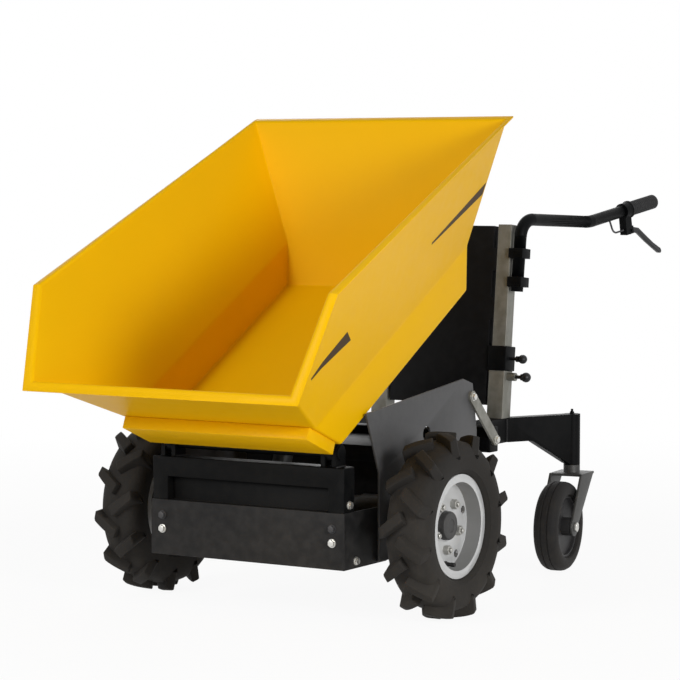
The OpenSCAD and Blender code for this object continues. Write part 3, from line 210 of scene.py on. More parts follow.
@dataclass
class SharedGroups:
    """The shader node groups that every finish uses."""

    broad_scale: float = 5.0
    broad_detail: float = 4.0
    fine_scale: float = 46.0
    fine_detail: float = 5.0
    edge: tuple[float, float] = (0.505, 0.6)
    chips: tuple[float, float] = (0.38, 0.66)
    patches: tuple[float, float] = (0.55, 1.1)
    patch_fine: float = 0.6
    rough_spread: float = 0.16
    rough_dust: float = 0.4
    grain_detail: float = 3.0

    def __post_init__(self) -> None:
        """Builds each group once."""
        self.weather = self._weather()
        self.grain = self._grain()

    @staticmethod
    def _start(name: str, inputs: Mapping[str, str], outputs: Mapping[str, str]) -> Tree:
        """Makes an empty group with its sockets.

        Args:
            name: The group's name.
            inputs: Name and kind of each input.
            outputs: Name and kind of each output.

        Returns:
            The group's tree.
        """
        group = bpy.data.node_groups.new(name, "ShaderNodeTree")
        for way, sockets in (("INPUT", inputs), ("OUTPUT", outputs)):
            for label, kind in sockets.items():
                group.interface.new_socket(label, in_out=way, socket_type=f"NodeSocket{kind}")
        return Tree(group)

    def _weather(self) -> bpy.types.NodeTree:
        """Colour drift, rubbed edges and dust near the ground.

        Returns:
            The group.
        """
        colours = dict.fromkeys(("Colour", "Rubbed", "Dust"), "Color")
        amounts = dict.fromkeys(("Drift", "Wear", "Dusty", "Dust Top", "Roughness"), "Float")
        tree = self._start("weather", colours | amounts, {"Colour": "Color", "Roughness": "Float"})
        given = tree.add("NodeGroupInput").outputs
        place = tree.add("ShaderNodeTexCoord").outputs["Object"]
        broad = tree.noise(place, self.broad_scale, self.broad_detail)
        fine = tree.noise(place, self.fine_scale, self.fine_detail)
        drift = tree.math("MULTIPLY", tree.math("SUBTRACT", broad, 0.5), given["Drift"])
        value = tree.math("ADD", drift, 1.0)
        tinted = tree.add("ShaderNodeHueSaturation", {"Color": given["Colour"], "Value": value}).outputs[0]
        edge = tree.ramp(tree.add("ShaderNodeNewGeometry").outputs["Pointiness"], *self.edge)
        rubbed = tree.math("MULTIPLY", edge, tree.ramp(fine, *self.chips))
        rubbed = tree.math("MULTIPLY", rubbed, given["Wear"], clamp=True)
        worn = tree.mix(rubbed, tinted, given["Rubbed"])
        height = tree.add("ShaderNodeSeparateXYZ", {0: place}).outputs["Z"]
        near = tree.math("SUBTRACT", 1.0, tree.math("DIVIDE", height, given["Dust Top"]), clamp=True)
        speckle = tree.math("ADD", broad, tree.math("MULTIPLY", fine, self.patch_fine))
        patch = tree.ramp(speckle, *self.patches)
        dust = tree.math("MULTIPLY", tree.math("MULTIPLY", near, patch), given["Dusty"], clamp=True)
        dusted = tree.mix(dust, worn, given["Dust"])
        spread = tree.math("MULTIPLY", tree.math("SUBTRACT", fine, 0.5), self.rough_spread)
        rough = tree.math("ADD", given["Roughness"], spread)
        rough = tree.math("ADD", rough, tree.math("MULTIPLY", dust, self.rough_dust), clamp=True)
        tree.add("NodeGroupOutput", {"Colour": dusted, "Roughness": rough})
        return tree.tree

    def _grain(self) -> bpy.types.NodeTree:
        """Fine relief, stretched along an axis where the finish is drawn or brushed.

        Returns:
            The group.
        """
        inputs = {"Scale": "Float", "Stretch": "Vector", "Pits": "Float"}
        tree = self._start("grain", inputs, {"Height": "Float"})
        given = tree.add("NodeGroupInput").outputs
        place = tree.add("ShaderNodeTexCoord").outputs["Object"]
        stretched = tree.add("ShaderNodeVectorMath", {0: place, 1: given["Stretch"]}, operation="MULTIPLY")
        spread = stretched.outputs[0]
        soft = tree.noise(spread, given["Scale"], self.grain_detail)
        cells = tree.add("ShaderNodeTexVoronoi", {"Vector": spread, "Scale": given["Scale"]})
        pits = tree.math("MULTIPLY", cells.outputs["Distance"], given["Pits"])
        tree.add("NodeGroupOutput", {"Height": tree.math("ADD", soft, pits)})
        return tree.tree


class Grain(Enum):
    """The fine relief of a finish: scale, stretch, pits and depth in metres."""

    PEEL = (150.0, EVEN, 0.0, 0.00012)
    TEXTURED = (700.0, EVEN, 0.5, 0.00016)
    MOULDED = (520.0, EVEN, 0.8, 0.0003)
    CAST = (260.0, EVEN, 0.6, 0.0005)
    BRUSHED = (420.0, (1.0, 0.08, 0.08), 0.0, 0.00008)
    SMOOTH = (90.0, EVEN, 0.0, 0.00004)


@dataclass(frozen=True)
class Finish:
    """One finish of the machine, built as a node material."""

    name: str
    colour: Colour
    rubbed: Colour
    roughness: float
    metallic: float = 0.0
    specular: float = 0.35
    coat: float = 0.0
    coat_roughness: float = 0.12
    drift: float = 0.12
    wear: float = 0.25
    dust: Colour = (138, 130, 118)
    dusty: float = 0.1
    dust_top: float = 0.45
    grain: Grain = Grain.PEEL
    bump: float = 0.6

    def material(self, groups: SharedGroups) -> bpy.types.Material:
        """Builds the finish, or gives the one built before.

        Args:
            groups: The shared node groups.

        Returns:
            The material.
        """
        label = f"{self.name}_finish"
        made = bpy.data.materials.get(label)
        if made:
            return made
        made = bpy.data.materials.new(label)
        made.use_nodes = True
        tree = Tree(made.node_tree)
        aged = {
            "Colour": linear(self.colour),
            "Rubbed": linear(self.rubbed),
            "Dust": linear(self.dust),
            "Drift": self.drift,
            "Wear": self.wear,
            "Dusty": self.dusty,
            "Dust Top": self.dust_top,
            "Roughness": self.roughness,
        }
        weather = tree.add("ShaderNodeGroup", aged, node_tree=groups.weather).outputs
        scale, stretch, pits, depth = self.grain.value
        relief = {"Scale": scale, "Stretch": stretch, "Pits": pits}
        height = tree.add("ShaderNodeGroup", relief, node_tree=groups.grain).outputs["Height"]
        bump = tree.add("ShaderNodeBump", {"Height": height, "Distance": depth, "Strength": self.bump})
        surface = {
            "Base Color": weather["Colour"],
            "Roughness": weather["Roughness"],
            "Normal": bump.outputs["Normal"],
            "Metallic": self.metallic,
            "Specular IOR Level": self.specular,
            "Coat Weight": self.coat,
            "Coat Roughness": self.coat_roughness,
        }
        tree.feed(tree.tree.nodes["Principled BSDF"], surface)
        return made


FINISHES: dict[str, Finish] = {
    finish.name: finish
    for finish in (
        Finish("frame_black", (6, 7, 8), (44, 44, 46), 0.5, specular=0.07, wear=0.1, dusty=0.05),
        Finish(
            "tub_yellow", (242, 186, 3), (248, 198, 56), 0.4,
            specular=0.05, coat=0.02, drift=0.06, wear=0.12, dusty=0.0,
        ),
        Finish("stripe_dark", (56, 38, 10), (90, 66, 30), 0.5, specular=0.12, wear=0.1),
        Finish("cover_grey", (23, 23, 24), (62, 62, 63), 0.5, specular=0.14, drift=0.04, wear=0.2),
        Finish("plate_grey", (76, 76, 77), (112, 112, 112), 0.45, specular=0.25, drift=0.06),
        Finish("box_grey", (10, 10, 11), (52, 52, 54), 0.55, specular=0.14, grain=Grain.TEXTURED),
        Finish("motor_grey", (26, 27, 28), (80, 80, 82), 0.5, specular=0.25, grain=Grain.CAST),
        Finish("weld_black", (20, 20, 22), (80, 80, 80), 0.5, specular=0.2, grain=Grain.CAST),
        # Painted shade: a darker copy of the zinc for the caster forks, standing for the shade they sit in.
        Finish("fork_grey", (62, 62, 61), (116, 116, 114), 0.5, metallic=0.2),
        Finish("zinc_grey", (120, 119, 111), (184, 183, 178), 0.48, metallic=0.4, grain=Grain.BRUSHED),
        Finish("rim_silver", (200, 201, 201), (220, 220, 220), 0.4, metallic=0.3, dusty=0.15),
        # Painted shade: a darker silver for the rims' barrel walls, standing for the shade inside the rim.
        Finish("rim_dull", (136, 136, 135), (180, 180, 179), 0.5, metallic=0.3, dusty=0.15),
        Finish("hub_dark", (62, 62, 62), (120, 120, 118), 0.45, metallic=0.4, grain=Grain.CAST),
        Finish("bolt_steel", (206, 205, 200), (232, 231, 228), 0.3, metallic=0.85, grain=Grain.SMOOTH),
        Finish("nut_zinc", (172, 171, 166), (214, 213, 208), 0.35, metallic=0.7, grain=Grain.SMOOTH),
        Finish("satin_bolt", (60, 60, 62), (110, 110, 110), 0.45, metallic=0.4, grain=Grain.SMOOTH),
        Finish("rod_chrome", (216, 216, 218), (232, 232, 232), 0.12, metallic=1.0, grain=Grain.SMOOTH),
        Finish("tyre_black", (36, 34, 32), (60, 58, 56), 0.8, specular=0.2, wear=0.4, grain=Grain.CAST),
        Finish("caster_rubber", (27, 26, 26), (58, 56, 54), 0.75, specular=0.25, grain=Grain.CAST),
        Finish("caster_plastic", (33, 33, 35), (80, 80, 80), 0.5, grain=Grain.MOULDED),
        Finish("soft_black", (28, 28, 29), (58, 58, 58), 0.68, grain=Grain.MOULDED),
        Finish("knob_black", (18, 18, 20), (60, 60, 62), 0.38, specular=0.3, grain=Grain.MOULDED),
        Finish("panel_grey", (84, 85, 88), (120, 120, 122), 0.46, grain=Grain.MOULDED),
        Finish("battery_black", (46, 46, 48), (80, 80, 82), 0.5, grain=Grain.MOULDED),
        Finish("cable_grey", (70, 70, 72), (110, 110, 110), 0.55, grain=Grain.SMOOTH),
        Finish("stop_red", (196, 24, 20), (222, 84, 74), 0.28, coat=0.5, grain=Grain.SMOOTH),
        Finish("lamp_green", (64, 150, 84), (140, 200, 150), 0.2, coat=0.6, grain=Grain.SMOOTH),
        Finish("gauge_glass", (14, 16, 18), (50, 52, 54), 0.12, coat=0.6, wear=0.1, grain=Grain.SMOOTH),
    )
}


class Shape:
    """A bmesh shaped by operators until it becomes a piece."""

    BEAD_LEAST = 3
    BEAD_PITCH = 1.3
    BEAD_END = 0.5
    BEAD_WAIST = 0.8
    HEAD_ROUND = 0.2
    HEAD_FACETS = 2
    SHORT_EDGE = 1.5
    LONG_EDGE = 2.5

    def __init__(self) -> None:
        """Starts empty."""
        self.bm = bmesh.new()

    @classmethod
    def hoop(cls, outline: Profile, place: Matrix, steps: Facets) -> "Shape":
        """A shape turned from a whole outline, with its faces outwards.

        Args:
            outline: Height and radius of each point, from end to end.
            place: Where the shape goes.
            steps: Facets in the full turn.

        Returns:
            The shape.
        """
        shape = cls()
        shape.lathe(outline, place, steps)
        shape.outward()
        return shape

    @classmethod
    def turned(cls, rings: Profile, place: Matrix, steps: Facets) -> "Shape":
        """A shape turned from a stack of rings, with its faces outwards.

        Args:
            rings: Height and radius of each ring.
            place: Where the shape goes.
            steps: Facets in the full turn.

        Returns:
            The shape.
        """
        shape = cls()
        shape.disc_stack(rings, place, steps)
        shape.outward()
        return shape

    def block(self, size: Point, place: Matrix) -> None:
        """Adds a block.

        Args:
            size: Length of each side.
            place: Where the block's middle goes.
        """
        bmesh.ops.create_cube(self.bm, size=1.0, matrix=place @ Matrix.Diagonal((*size, 1.0)))

    def lathe(self, profile: Profile, place: Matrix, steps: Facets) -> None:
        """Turns a profile round the local Z axis.

        Args:
            profile: Height and radius of each point, from end to end.
            place: Where the turned shape goes.
            steps: Facets in the full turn.
        """
        start = [self.bm.verts.new((radius, 0.0, height)) for height, radius in profile]
        edges = [self.bm.edges.new(pair) for pair in zip(start, start[1:])]
        known = set(self.bm.verts) - set(start)
        bmesh.ops.spin(
            self.bm,
            geom=start + edges,
            cent=(0, 0, 0),
            axis=(0, 0, 1),
            angle=2 * pi,
            steps=steps,
            use_merge=True,
        )
        fresh = [v for v in self.bm.verts if v not in known]
        bmesh.ops.remove_doubles(self.bm, verts=fresh, dist=DOUBLES)
        bmesh.ops.transform(self.bm, matrix=place, verts=[v for v in self.bm.verts if v not in known])

    def disc_stack(self, rings: Profile, place: Matrix, steps: Facets) -> None:
        """Turns a stack of rings, with its ends drawn to the axis."""
        self.lathe([(rings[0][0], 0.0), *rings, (rings[-1][0], 0.0)], place, steps)

    def bead(self, points: Sequence[Point], radius: float) -> None:
        """Lays a rippled weld bead along straight runs between points.

        Args:
            points: The run's corners.
            radius: Radius of the bead.
        """
        for a, b in zip(points, points[1:]):
            run = Vector(b) - Vector(a)
            count = max(self.BEAD_LEAST, int(run.length / (radius * self.BEAD_PITCH)))
            turn = run.to_track_quat("Z", "Y").to_matrix().to_4x4()
            rings = [(0.0, radius * self.BEAD_END)]
            for i in range(count):
                rings.append((run.length * (i + 0.5) / count, radius))
                rings.append((run.length * (i + 1) / count, radius * self.BEAD_WAIST))
            self.disc_stack(rings, shift(*a) @ turn, Facets.BEAD)

    def hex_head(self, place: Matrix, corners: float, height: float) -> None:
        """Adds a hexagonal head with its top edge turned off.

        Args:
            place: The middle of its foot, with local Z along the bolt.
            corners: Size over the corners.
            height: Height of the head.
        """
        made = bmesh.ops.create_cone(
            self.bm,
            cap_ends=True,
            segments=6,
            radius1=corners / 2,
            radius2=corners / 2,
            depth=height,
            matrix=place @ shift(0, 0, height / 2),
        )["verts"]
        back = place.inverted()
        top = {v for v in made if (back @ v.co).z > height / 2}
        rim = {e for v in top for e in v.link_edges if e.other_vert(v) in top}
        self.round_off(rim, height * self.HEAD_ROUND, self.HEAD_FACETS)

    def round_off(self, edges: Iterable[bmesh.types.BMEdge], width: float, segments: int) -> None:
        """Rounds some edges.

        Args:
            edges: The edges.
            width: How far the rounding reaches on each face.
            segments: Facets in the rounding.
        """
        bmesh.ops.bevel(
            self.bm,
            geom=list(edges),
            offset=width,
            offset_type="OFFSET",
            affect="EDGES",
            segments=segments,
            profile=0.5,
            material=-1,
            clamp_overlap=False,
        )

    def soften(self, width: float, segments: int = 2, angle: float = radians(32)) -> None:
        """Rounds the long sharp edges.

        Args:
            width: How far the rounding reaches on each face.
            segments: Facets in the rounding.
            angle: Edges that turn by less stay as they are.
        """
        short = {v for e in self.bm.edges if e.calc_length() < width * self.SHORT_EDGE for v in e.verts}
        sharp = [
            e
            for e in self.bm.edges
            if e.is_manifold
            and e.calc_face_angle() > angle
            and e.calc_length() > width * self.LONG_EDGE
            and short.isdisjoint(e.verts)
        ]
        self.round_off(sharp, width, segments)

    def move(self, place: Matrix) -> None:
        """Moves the whole shape from its own frame to a place."""
        bmesh.ops.transform(self.bm, matrix=place, verts=self.bm.verts)

    def mirror(self) -> None:
        """Swaps the shape to the other side of the machine."""
        self.move(Matrix.Diagonal((-1.0, 1.0, 1.0, 1.0)))
        bmesh.ops.reverse_faces(self.bm, faces=self.bm.faces)

    def on(self, side: Side) -> "Shape":
        """Gives a right-hand shape for a side, mirrored for the left one.

        Args:
            side: The side of the machine.

        Returns:
            The same shape.
        """
        if side is Side.LEFT:
            self.mirror()
        return self

    def join(self, other: "Shape") -> None:
        """Takes over another shape's faces and ends it.

        Args:
            other: The shape that is used up.
        """
        spare = other.mesh("spare")
        self.bm.from_mesh(spare)
        bpy.data.meshes.remove(spare)

    def join_mirrored(self) -> None:
        """Adds the shape's own mirror image."""
        twin = Shape()
        twin.bm.free()
        twin.bm = self.bm.copy()
        twin.mirror()
        self.join(twin)

    def outward(self) -> None:
        """Merges doubles and points every face outwards."""
        bmesh.ops.remove_doubles(self.bm, verts=self.bm.verts, dist=DOUBLES)
        bmesh.ops.recalc_face_normals(self.bm, faces=self.bm.faces)

    def mesh(self, name: str) -> bpy.types.Mesh:
        """Ends the shape and gives its mesh.

        Args:
            name: The mesh's name.

        Returns:
            The mesh.
        """
        made = bpy.data.meshes.new(name)
        self.bm.to_mesh(made)
        self.bm.free()
        return made


class Workshop:
    """Turns shapes into pieces with their finish and body."""

    MERGE = 2e-6
    FLAT = radians(0.4)

    def __init__(self) -> None:
        """Builds the shared groups and notes each node's slot."""
        self.groups = SharedGroups()
        self.slots = {row["node"]: row["material_slot"] for row in frame["record"]["subparts"]}

    def finish(self, look: str) -> bpy.types.Material:
        """The material of a slot or of a trim finish."""
        return FINISHES[look].material(self.groups)

    def piece(
        self,
        name: str,
        shape: Shape,
        slot: str,
        body: str,
        replaces: Sequence[str] = (),
        look: str | None = None,
        smooth: float = radians(34),
    ) -> bpy.types.Object:
        """Makes a piece that rides on a body.

        Args:
            name: The piece's name.
            shape: Its mesh.
            slot: The record's material slot.
            body: The CAD body that carries it.
            replaces: CAD nodes that it stands for.
            look: A trim finish, where it differs from the slot's.
            smooth: Edges that turn by more stay sharp.

        Returns:
            The new object.
        """
        mesh = shape.mesh(name)
        mesh.polygons.foreach_set("use_smooth", [True] * len(mesh.polygons))
        mesh.set_sharp_from_angle(angle=smooth)
        mesh.materials.append(self.finish(look or slot))
        made = linked(name, mesh)
        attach(made, body)
        if replaces:
            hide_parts(*replaces)
        LOG.info("%s rides on %s, %d faces", name, body, len(mesh.polygons))
        return made

    def softened(self, node: str, width: float, look: str | None) -> bpy.types.Object:
        """Gives a CAD node rounded edges and smooth shading.

        Args:
            node: The CAD node.
            width: Width of the rounding, or 0 for smooth shading alone.
            look: A trim finish, where it differs from the slot's.

        Returns:
            The piece that stands for the node.
        """
        source = frame["nodes"][node]
        shape = Shape()
        shape.bm.from_mesh(source.data)
        bmesh.ops.remove_doubles(shape.bm, verts=shape.bm.verts, dist=self.MERGE)
        if width > 0:
            bmesh.ops.dissolve_limit(
                shape.bm,
                angle_limit=self.FLAT,
                verts=shape.bm.verts,
                edges=shape.bm.edges,
                use_dissolve_boundaries=False,
            )
            shape.soften(width)
        return self.piece(f"{node}_shell", shape, self.slots[node], source["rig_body"], [node], look)


@dataclass
class Bodywork:
    """The CAD nodes whose shape is right, with their edges rounded."""

    usual: float = 0.0009
    widths: dict[str, float] = field(
        default_factory=lambda: {
            "nose_channel": 0.0018,
            "chassis_frame": 0.0022,
            **dict.fromkeys(both("collar"), 0.0016),
            **dict.fromkeys(both("caster_arm"), 0.0018),
            **dict.fromkeys(both("lever"), 0.0022),
            **dict.fromkeys(both("handlebar"), 0.0),
        }
    )
    looks: dict[str, str] = field(
        default_factory=lambda: {
            "front_cover": "cover_grey",
            **dict.fromkeys(both("side_plate"), "plate_grey"),
            # The caster forks get the darker, shaded copy of the zinc (painted shade).
            **dict.fromkeys(both("caster_fork"), "fork_grey"),
        }
    )
    remade: tuple[str, ...] = (
        "tub_shell",
        "cover_bolts",
        "lever_cables",
        "stop_button",
        *both("tyre", "hub", "caster_tyre", "grip", "clamp_knob", "plunger"),
    )
    inside: tuple[str, ...] = ("batteries",)
    recess_y: float = -0.5569
    recess_slack: float = 0.001
    axle: tuple[float, float] = (-0.362436, 0.206031)
    facing: float = 0.7

    def _in_recess(self, face: bpy.types.MeshPolygon) -> bool:
        """Tells whether a face of the cover lies in the beam's recess, where shade is painted."""
        return face.normal.y < -self.facing and abs(face.center.y - self.recess_y) < self.recess_slack

    def _in_barrel(self, face: bpy.types.MeshPolygon) -> bool:
        """Tells whether a face of a rim is turned towards the axle, where shade is painted."""
        out = Vector((0.0, face.center.y - self.axle[0], face.center.z - self.axle[1])).normalized()
        return face.normal.dot(out) < -self.facing

    @staticmethod
    def _shade(
        shop: Workshop, made: bpy.types.Object, look: str, chosen: Callable[[bpy.types.MeshPolygon], bool]
    ) -> None:
        """Paints shade on some faces of a piece, as a second, darker finish.

        Args:
            shop: The workshop.
            made: The piece.
            look: The darker finish that stands for the shade.
            chosen: Tells which faces get it.
        """
        made.data.materials.append(shop.finish(look))
        for face in made.data.polygons:
            if chosen(face):
                face.material_index = 1

    def build(self, shop: Workshop) -> None:
        """Dresses every CAD node, rounds those that no other class makes anew, and paints shade into the
        cover's recess and onto the rims' barrels.

        Args:
            shop: The workshop.
        """
        for node, source in frame["nodes"].items():
            source.data.materials.clear()
            source.data.materials.append(shop.finish(self.looks.get(node, shop.slots[node])))
            if node in self.remade or node in self.inside:
                continue
            made = shop.softened(node, self.widths.get(node, self.usual), self.looks.get(node))
            # Painted shade: the cover's faces in the beam's recess get the black finish to stand for the
            # shade there.
            if node == "front_cover":
                self._shade(shop, made, "frame_black", self._in_recess)
            # Painted shade: the rims' barrel walls get the darker silver to stand for the shade inside the
            # rim.
            elif node.startswith("rim_"):
                self._shade(shop, made, "rim_dull", self._in_barrel)


@dataclass
class Tub:
    """The tipping tub of bent sheet, with a folded rim and plain dashes on each side."""

    tip: float = radians(29.3)
    hinge: Point = (0.0, -0.556936, 0.3755)
    floor_at: Point = (0.0, -0.010, 0.030)
    floor_half: float = 0.250
    floor_l: float = 0.632
    band_h: float = 0.092
    nose_k: float = -0.8104
    rear_k: float = 0.5962
    lip: Point = (0.334, -0.22519, 0.27790)
    crest: Point = (0.373, -0.052, 0.417)
    rear: Point = (0.348, 0.83507, 0.34063)
    lip_out: Point = (0.353, -0.240, 0.266)
    crest_out: Point = (0.392, -0.052, 0.417)
    rear_out: Point = (0.354, 0.854, 0.339)
    mouth: float = radians(38.77)
    top: float = radians(-4.92)
    side_run: float = 0.5
    sheet: float = 0.004
    bend: float = 0.006
    bend_facets: int = 4
    bend_from: float = radians(12)
    cut_round: float = 0.0011
    cut_from: float = radians(70)
    smooth: float = radians(28)
    stripe_t: float = 0.0004
    stripe_lift: Point = (0.94, 0.0, -0.34)
    stripe_wall: float = 1.01
    stripes: tuple[Profile, ...] = (
        ((-0.121, 0.2520), (-0.119, 0.2465), (0.0709, 0.2242), (0.0503, 0.2584)),
        ((0.462, 0.2320), (0.462, 0.2265), (0.738, 0.1980), (0.752, 0.2215)),
    )

    def place(self) -> Matrix:
        """The floor's front edge, tipped as in the photograph."""
        turn = spin(self.tip, "X")
        return shift(*self.hinge) @ turn @ shift(*self.floor_at)

    @staticmethod
    def _grow(shape: Shape, *goals: Point) -> None:
        """Draws the sheet's open edge out to the next line of corners.

        Args:
            shape: The sheet so far.
            goals: Right-hand corners that the nearest points of the edge move to.
        """
        edge = [e for e in shape.bm.edges if e.is_boundary]
        made = bmesh.ops.extrude_edge_only(shape.bm, edges=edge)["geom"]
        for vert in (v for v in made if isinstance(v, bmesh.types.BMVert)):
            goal = min(goals, key=lambda g: abs(g[1] - vert.co.y))
            vert.co = (copysign(goal[0], vert.co.x), goal[1], goal[2])

    def _is_side(self, edge: bmesh.types.BMEdge) -> bool:
        """Tells whether an edge is the open upper edge of a side wall."""
        return edge.is_boundary and abs(edge.verts[0].co.y - edge.verts[1].co.y) > self.side_run

    def _walls(self) -> Shape:
        """The floor and walls as one flat-faced sheet, on their outer side.

        Returns:
            The sheet, without thickness.
        """
        shape = Shape()
        size = Matrix.Diagonal((self.floor_half * 2, self.floor_l, 1, 1))
        floor = shift(0, self.floor_l / 2, 0) @ size
        bmesh.ops.create_grid(shape.bm, x_segments=1, y_segments=1, size=0.5, matrix=floor)
        low = (self.floor_half, self.band_h * self.nose_k, self.band_h)
        low_back = (self.floor_half, self.floor_l + self.band_h * self.rear_k, self.band_h)
        self._grow(shape, low, low_back)
        self._grow(shape, self.lip, self.rear)
        for edge in [e for e in shape.bm.edges if self._is_side(e)]:
            _, corner = bmesh.utils.edge_split(edge, edge.verts[0], 0.5)
            corner.co = (copysign(self.crest[0], corner.co.x), self.crest[1], self.crest[2])
            wall = corner.link_faces[0]
            feet = [v for v in wall.verts if abs(v.co.z - self.band_h) < DOUBLES]
            foot = min(feet, key=lambda v: v.co.y)
            back = max(wall.verts, key=lambda v: v.co.y)
            bmesh.utils.face_split(wall, foot, back)
            bmesh.utils.face_split(next(f for f in corner.link_faces if foot in f.verts), foot, corner)
        return shape

    def _under(self) -> list[Point]:
        """The rim fold's outer corners, on the fold's underside.

        Returns:
            The right-hand corners at the lip, the crest and the rear.
        """
        mouth = Vector((0, -sin(self.mouth), cos(self.mouth)))
        top = Vector((0, -sin(self.top), cos(self.top)))
        both_ways = (mouth + top) / (1 + mouth.dot(top))
        pairs = ((self.lip_out, mouth), (self.crest_out, both_ways), (self.rear_out, top))
        return [tuple(Vector(point) - normal * self.sheet) for point, normal in pairs]

    def _shell(self) -> Shape:
        """The whole sheet with rounded bends and its thickness.

        Returns:
            The shell in the tub's own frame.
        """
        shape = self._walls()
        self._grow(shape, *self._under())
        bends = [e for e in shape.bm.edges if e.is_manifold and e.calc_face_angle() > self.bend_from]
        shape.round_off(bends, self.bend, self.bend_facets)
        bmesh.ops.recalc_face_normals(shape.bm, faces=shape.bm.faces)
        if min(shape.bm.faces, key=lambda f: f.calc_center_median().z).normal.z > 0:
            bmesh.ops.reverse_faces(shape.bm, faces=shape.bm.faces)
        bmesh.ops.solidify(shape.bm, geom=shape.bm.faces[:], thickness=self.sheet)
        shape.outward()
        shape.soften(self.cut_round, angle=self.cut_from)
        return shape

    def _stripe(self, corners: Profile) -> Shape:
        """A thin dark dash cut from the right-hand wall.

        Args:
            corners: The dash's corners along and up the tub, in order.

        Returns:
            The dash.
        """
        shape = self._walls()
        inner = self.floor_half * self.stripe_wall
        spare = [f for f in shape.bm.faces if f.calc_center_median().x < inner]
        bmesh.ops.delete(shape.bm, geom=spare, context="FACES")
        middle = Vector((0, *[sum(c[i] for c in corners) / len(corners) for i in (0, 1)]))
        for a, b in zip(corners, [*corners[1:], corners[0]]):
            start = Vector((0, *a))
            out = (Vector((0, *b)) - start).cross(Vector((1, 0, 0)))
            if out.dot(middle - start) > 0:
                out.negate()
            parts = [*shape.bm.verts, *shape.bm.edges, *shape.bm.faces]
            bmesh.ops.bisect_plane(
                shape.bm, geom=parts, dist=CUT_SLACK, plane_co=start, plane_no=out, clear_outer=True
            )
        for face in shape.bm.faces:
            if face.normal.x < 0:
                face.normal_flip()
        shape.bm.normal_update()
        lift = Vector(self.stripe_lift) * (self.stripe_t / 2)
        bmesh.ops.translate(shape.bm, vec=lift, verts=shape.bm.verts)
        bmesh.ops.solidify(shape.bm, geom=shape.bm.faces[:], thickness=self.stripe_t)
        shape.outward()
        return shape

    def build(self, shop: Workshop) -> None:
        """Builds the shell and the dashes on both sides.

        Args:
            shop: The workshop.
        """
        shell = self._shell()
        shell.move(self.place())
        shop.piece("tub_sheet", shell, "tub_yellow", "tub", ["tub_shell"], smooth=self.smooth)
        for side in Side:
            dashes = Shape()
            for corners in self.stripes:
                dash = self._stripe(corners)
                dash.move(self.place())
                dashes.join(dash)
            shop.piece(f"tub_stripe_{side.tag}", dashes.on(side), "frame_black", "tub", look="stripe_dark")


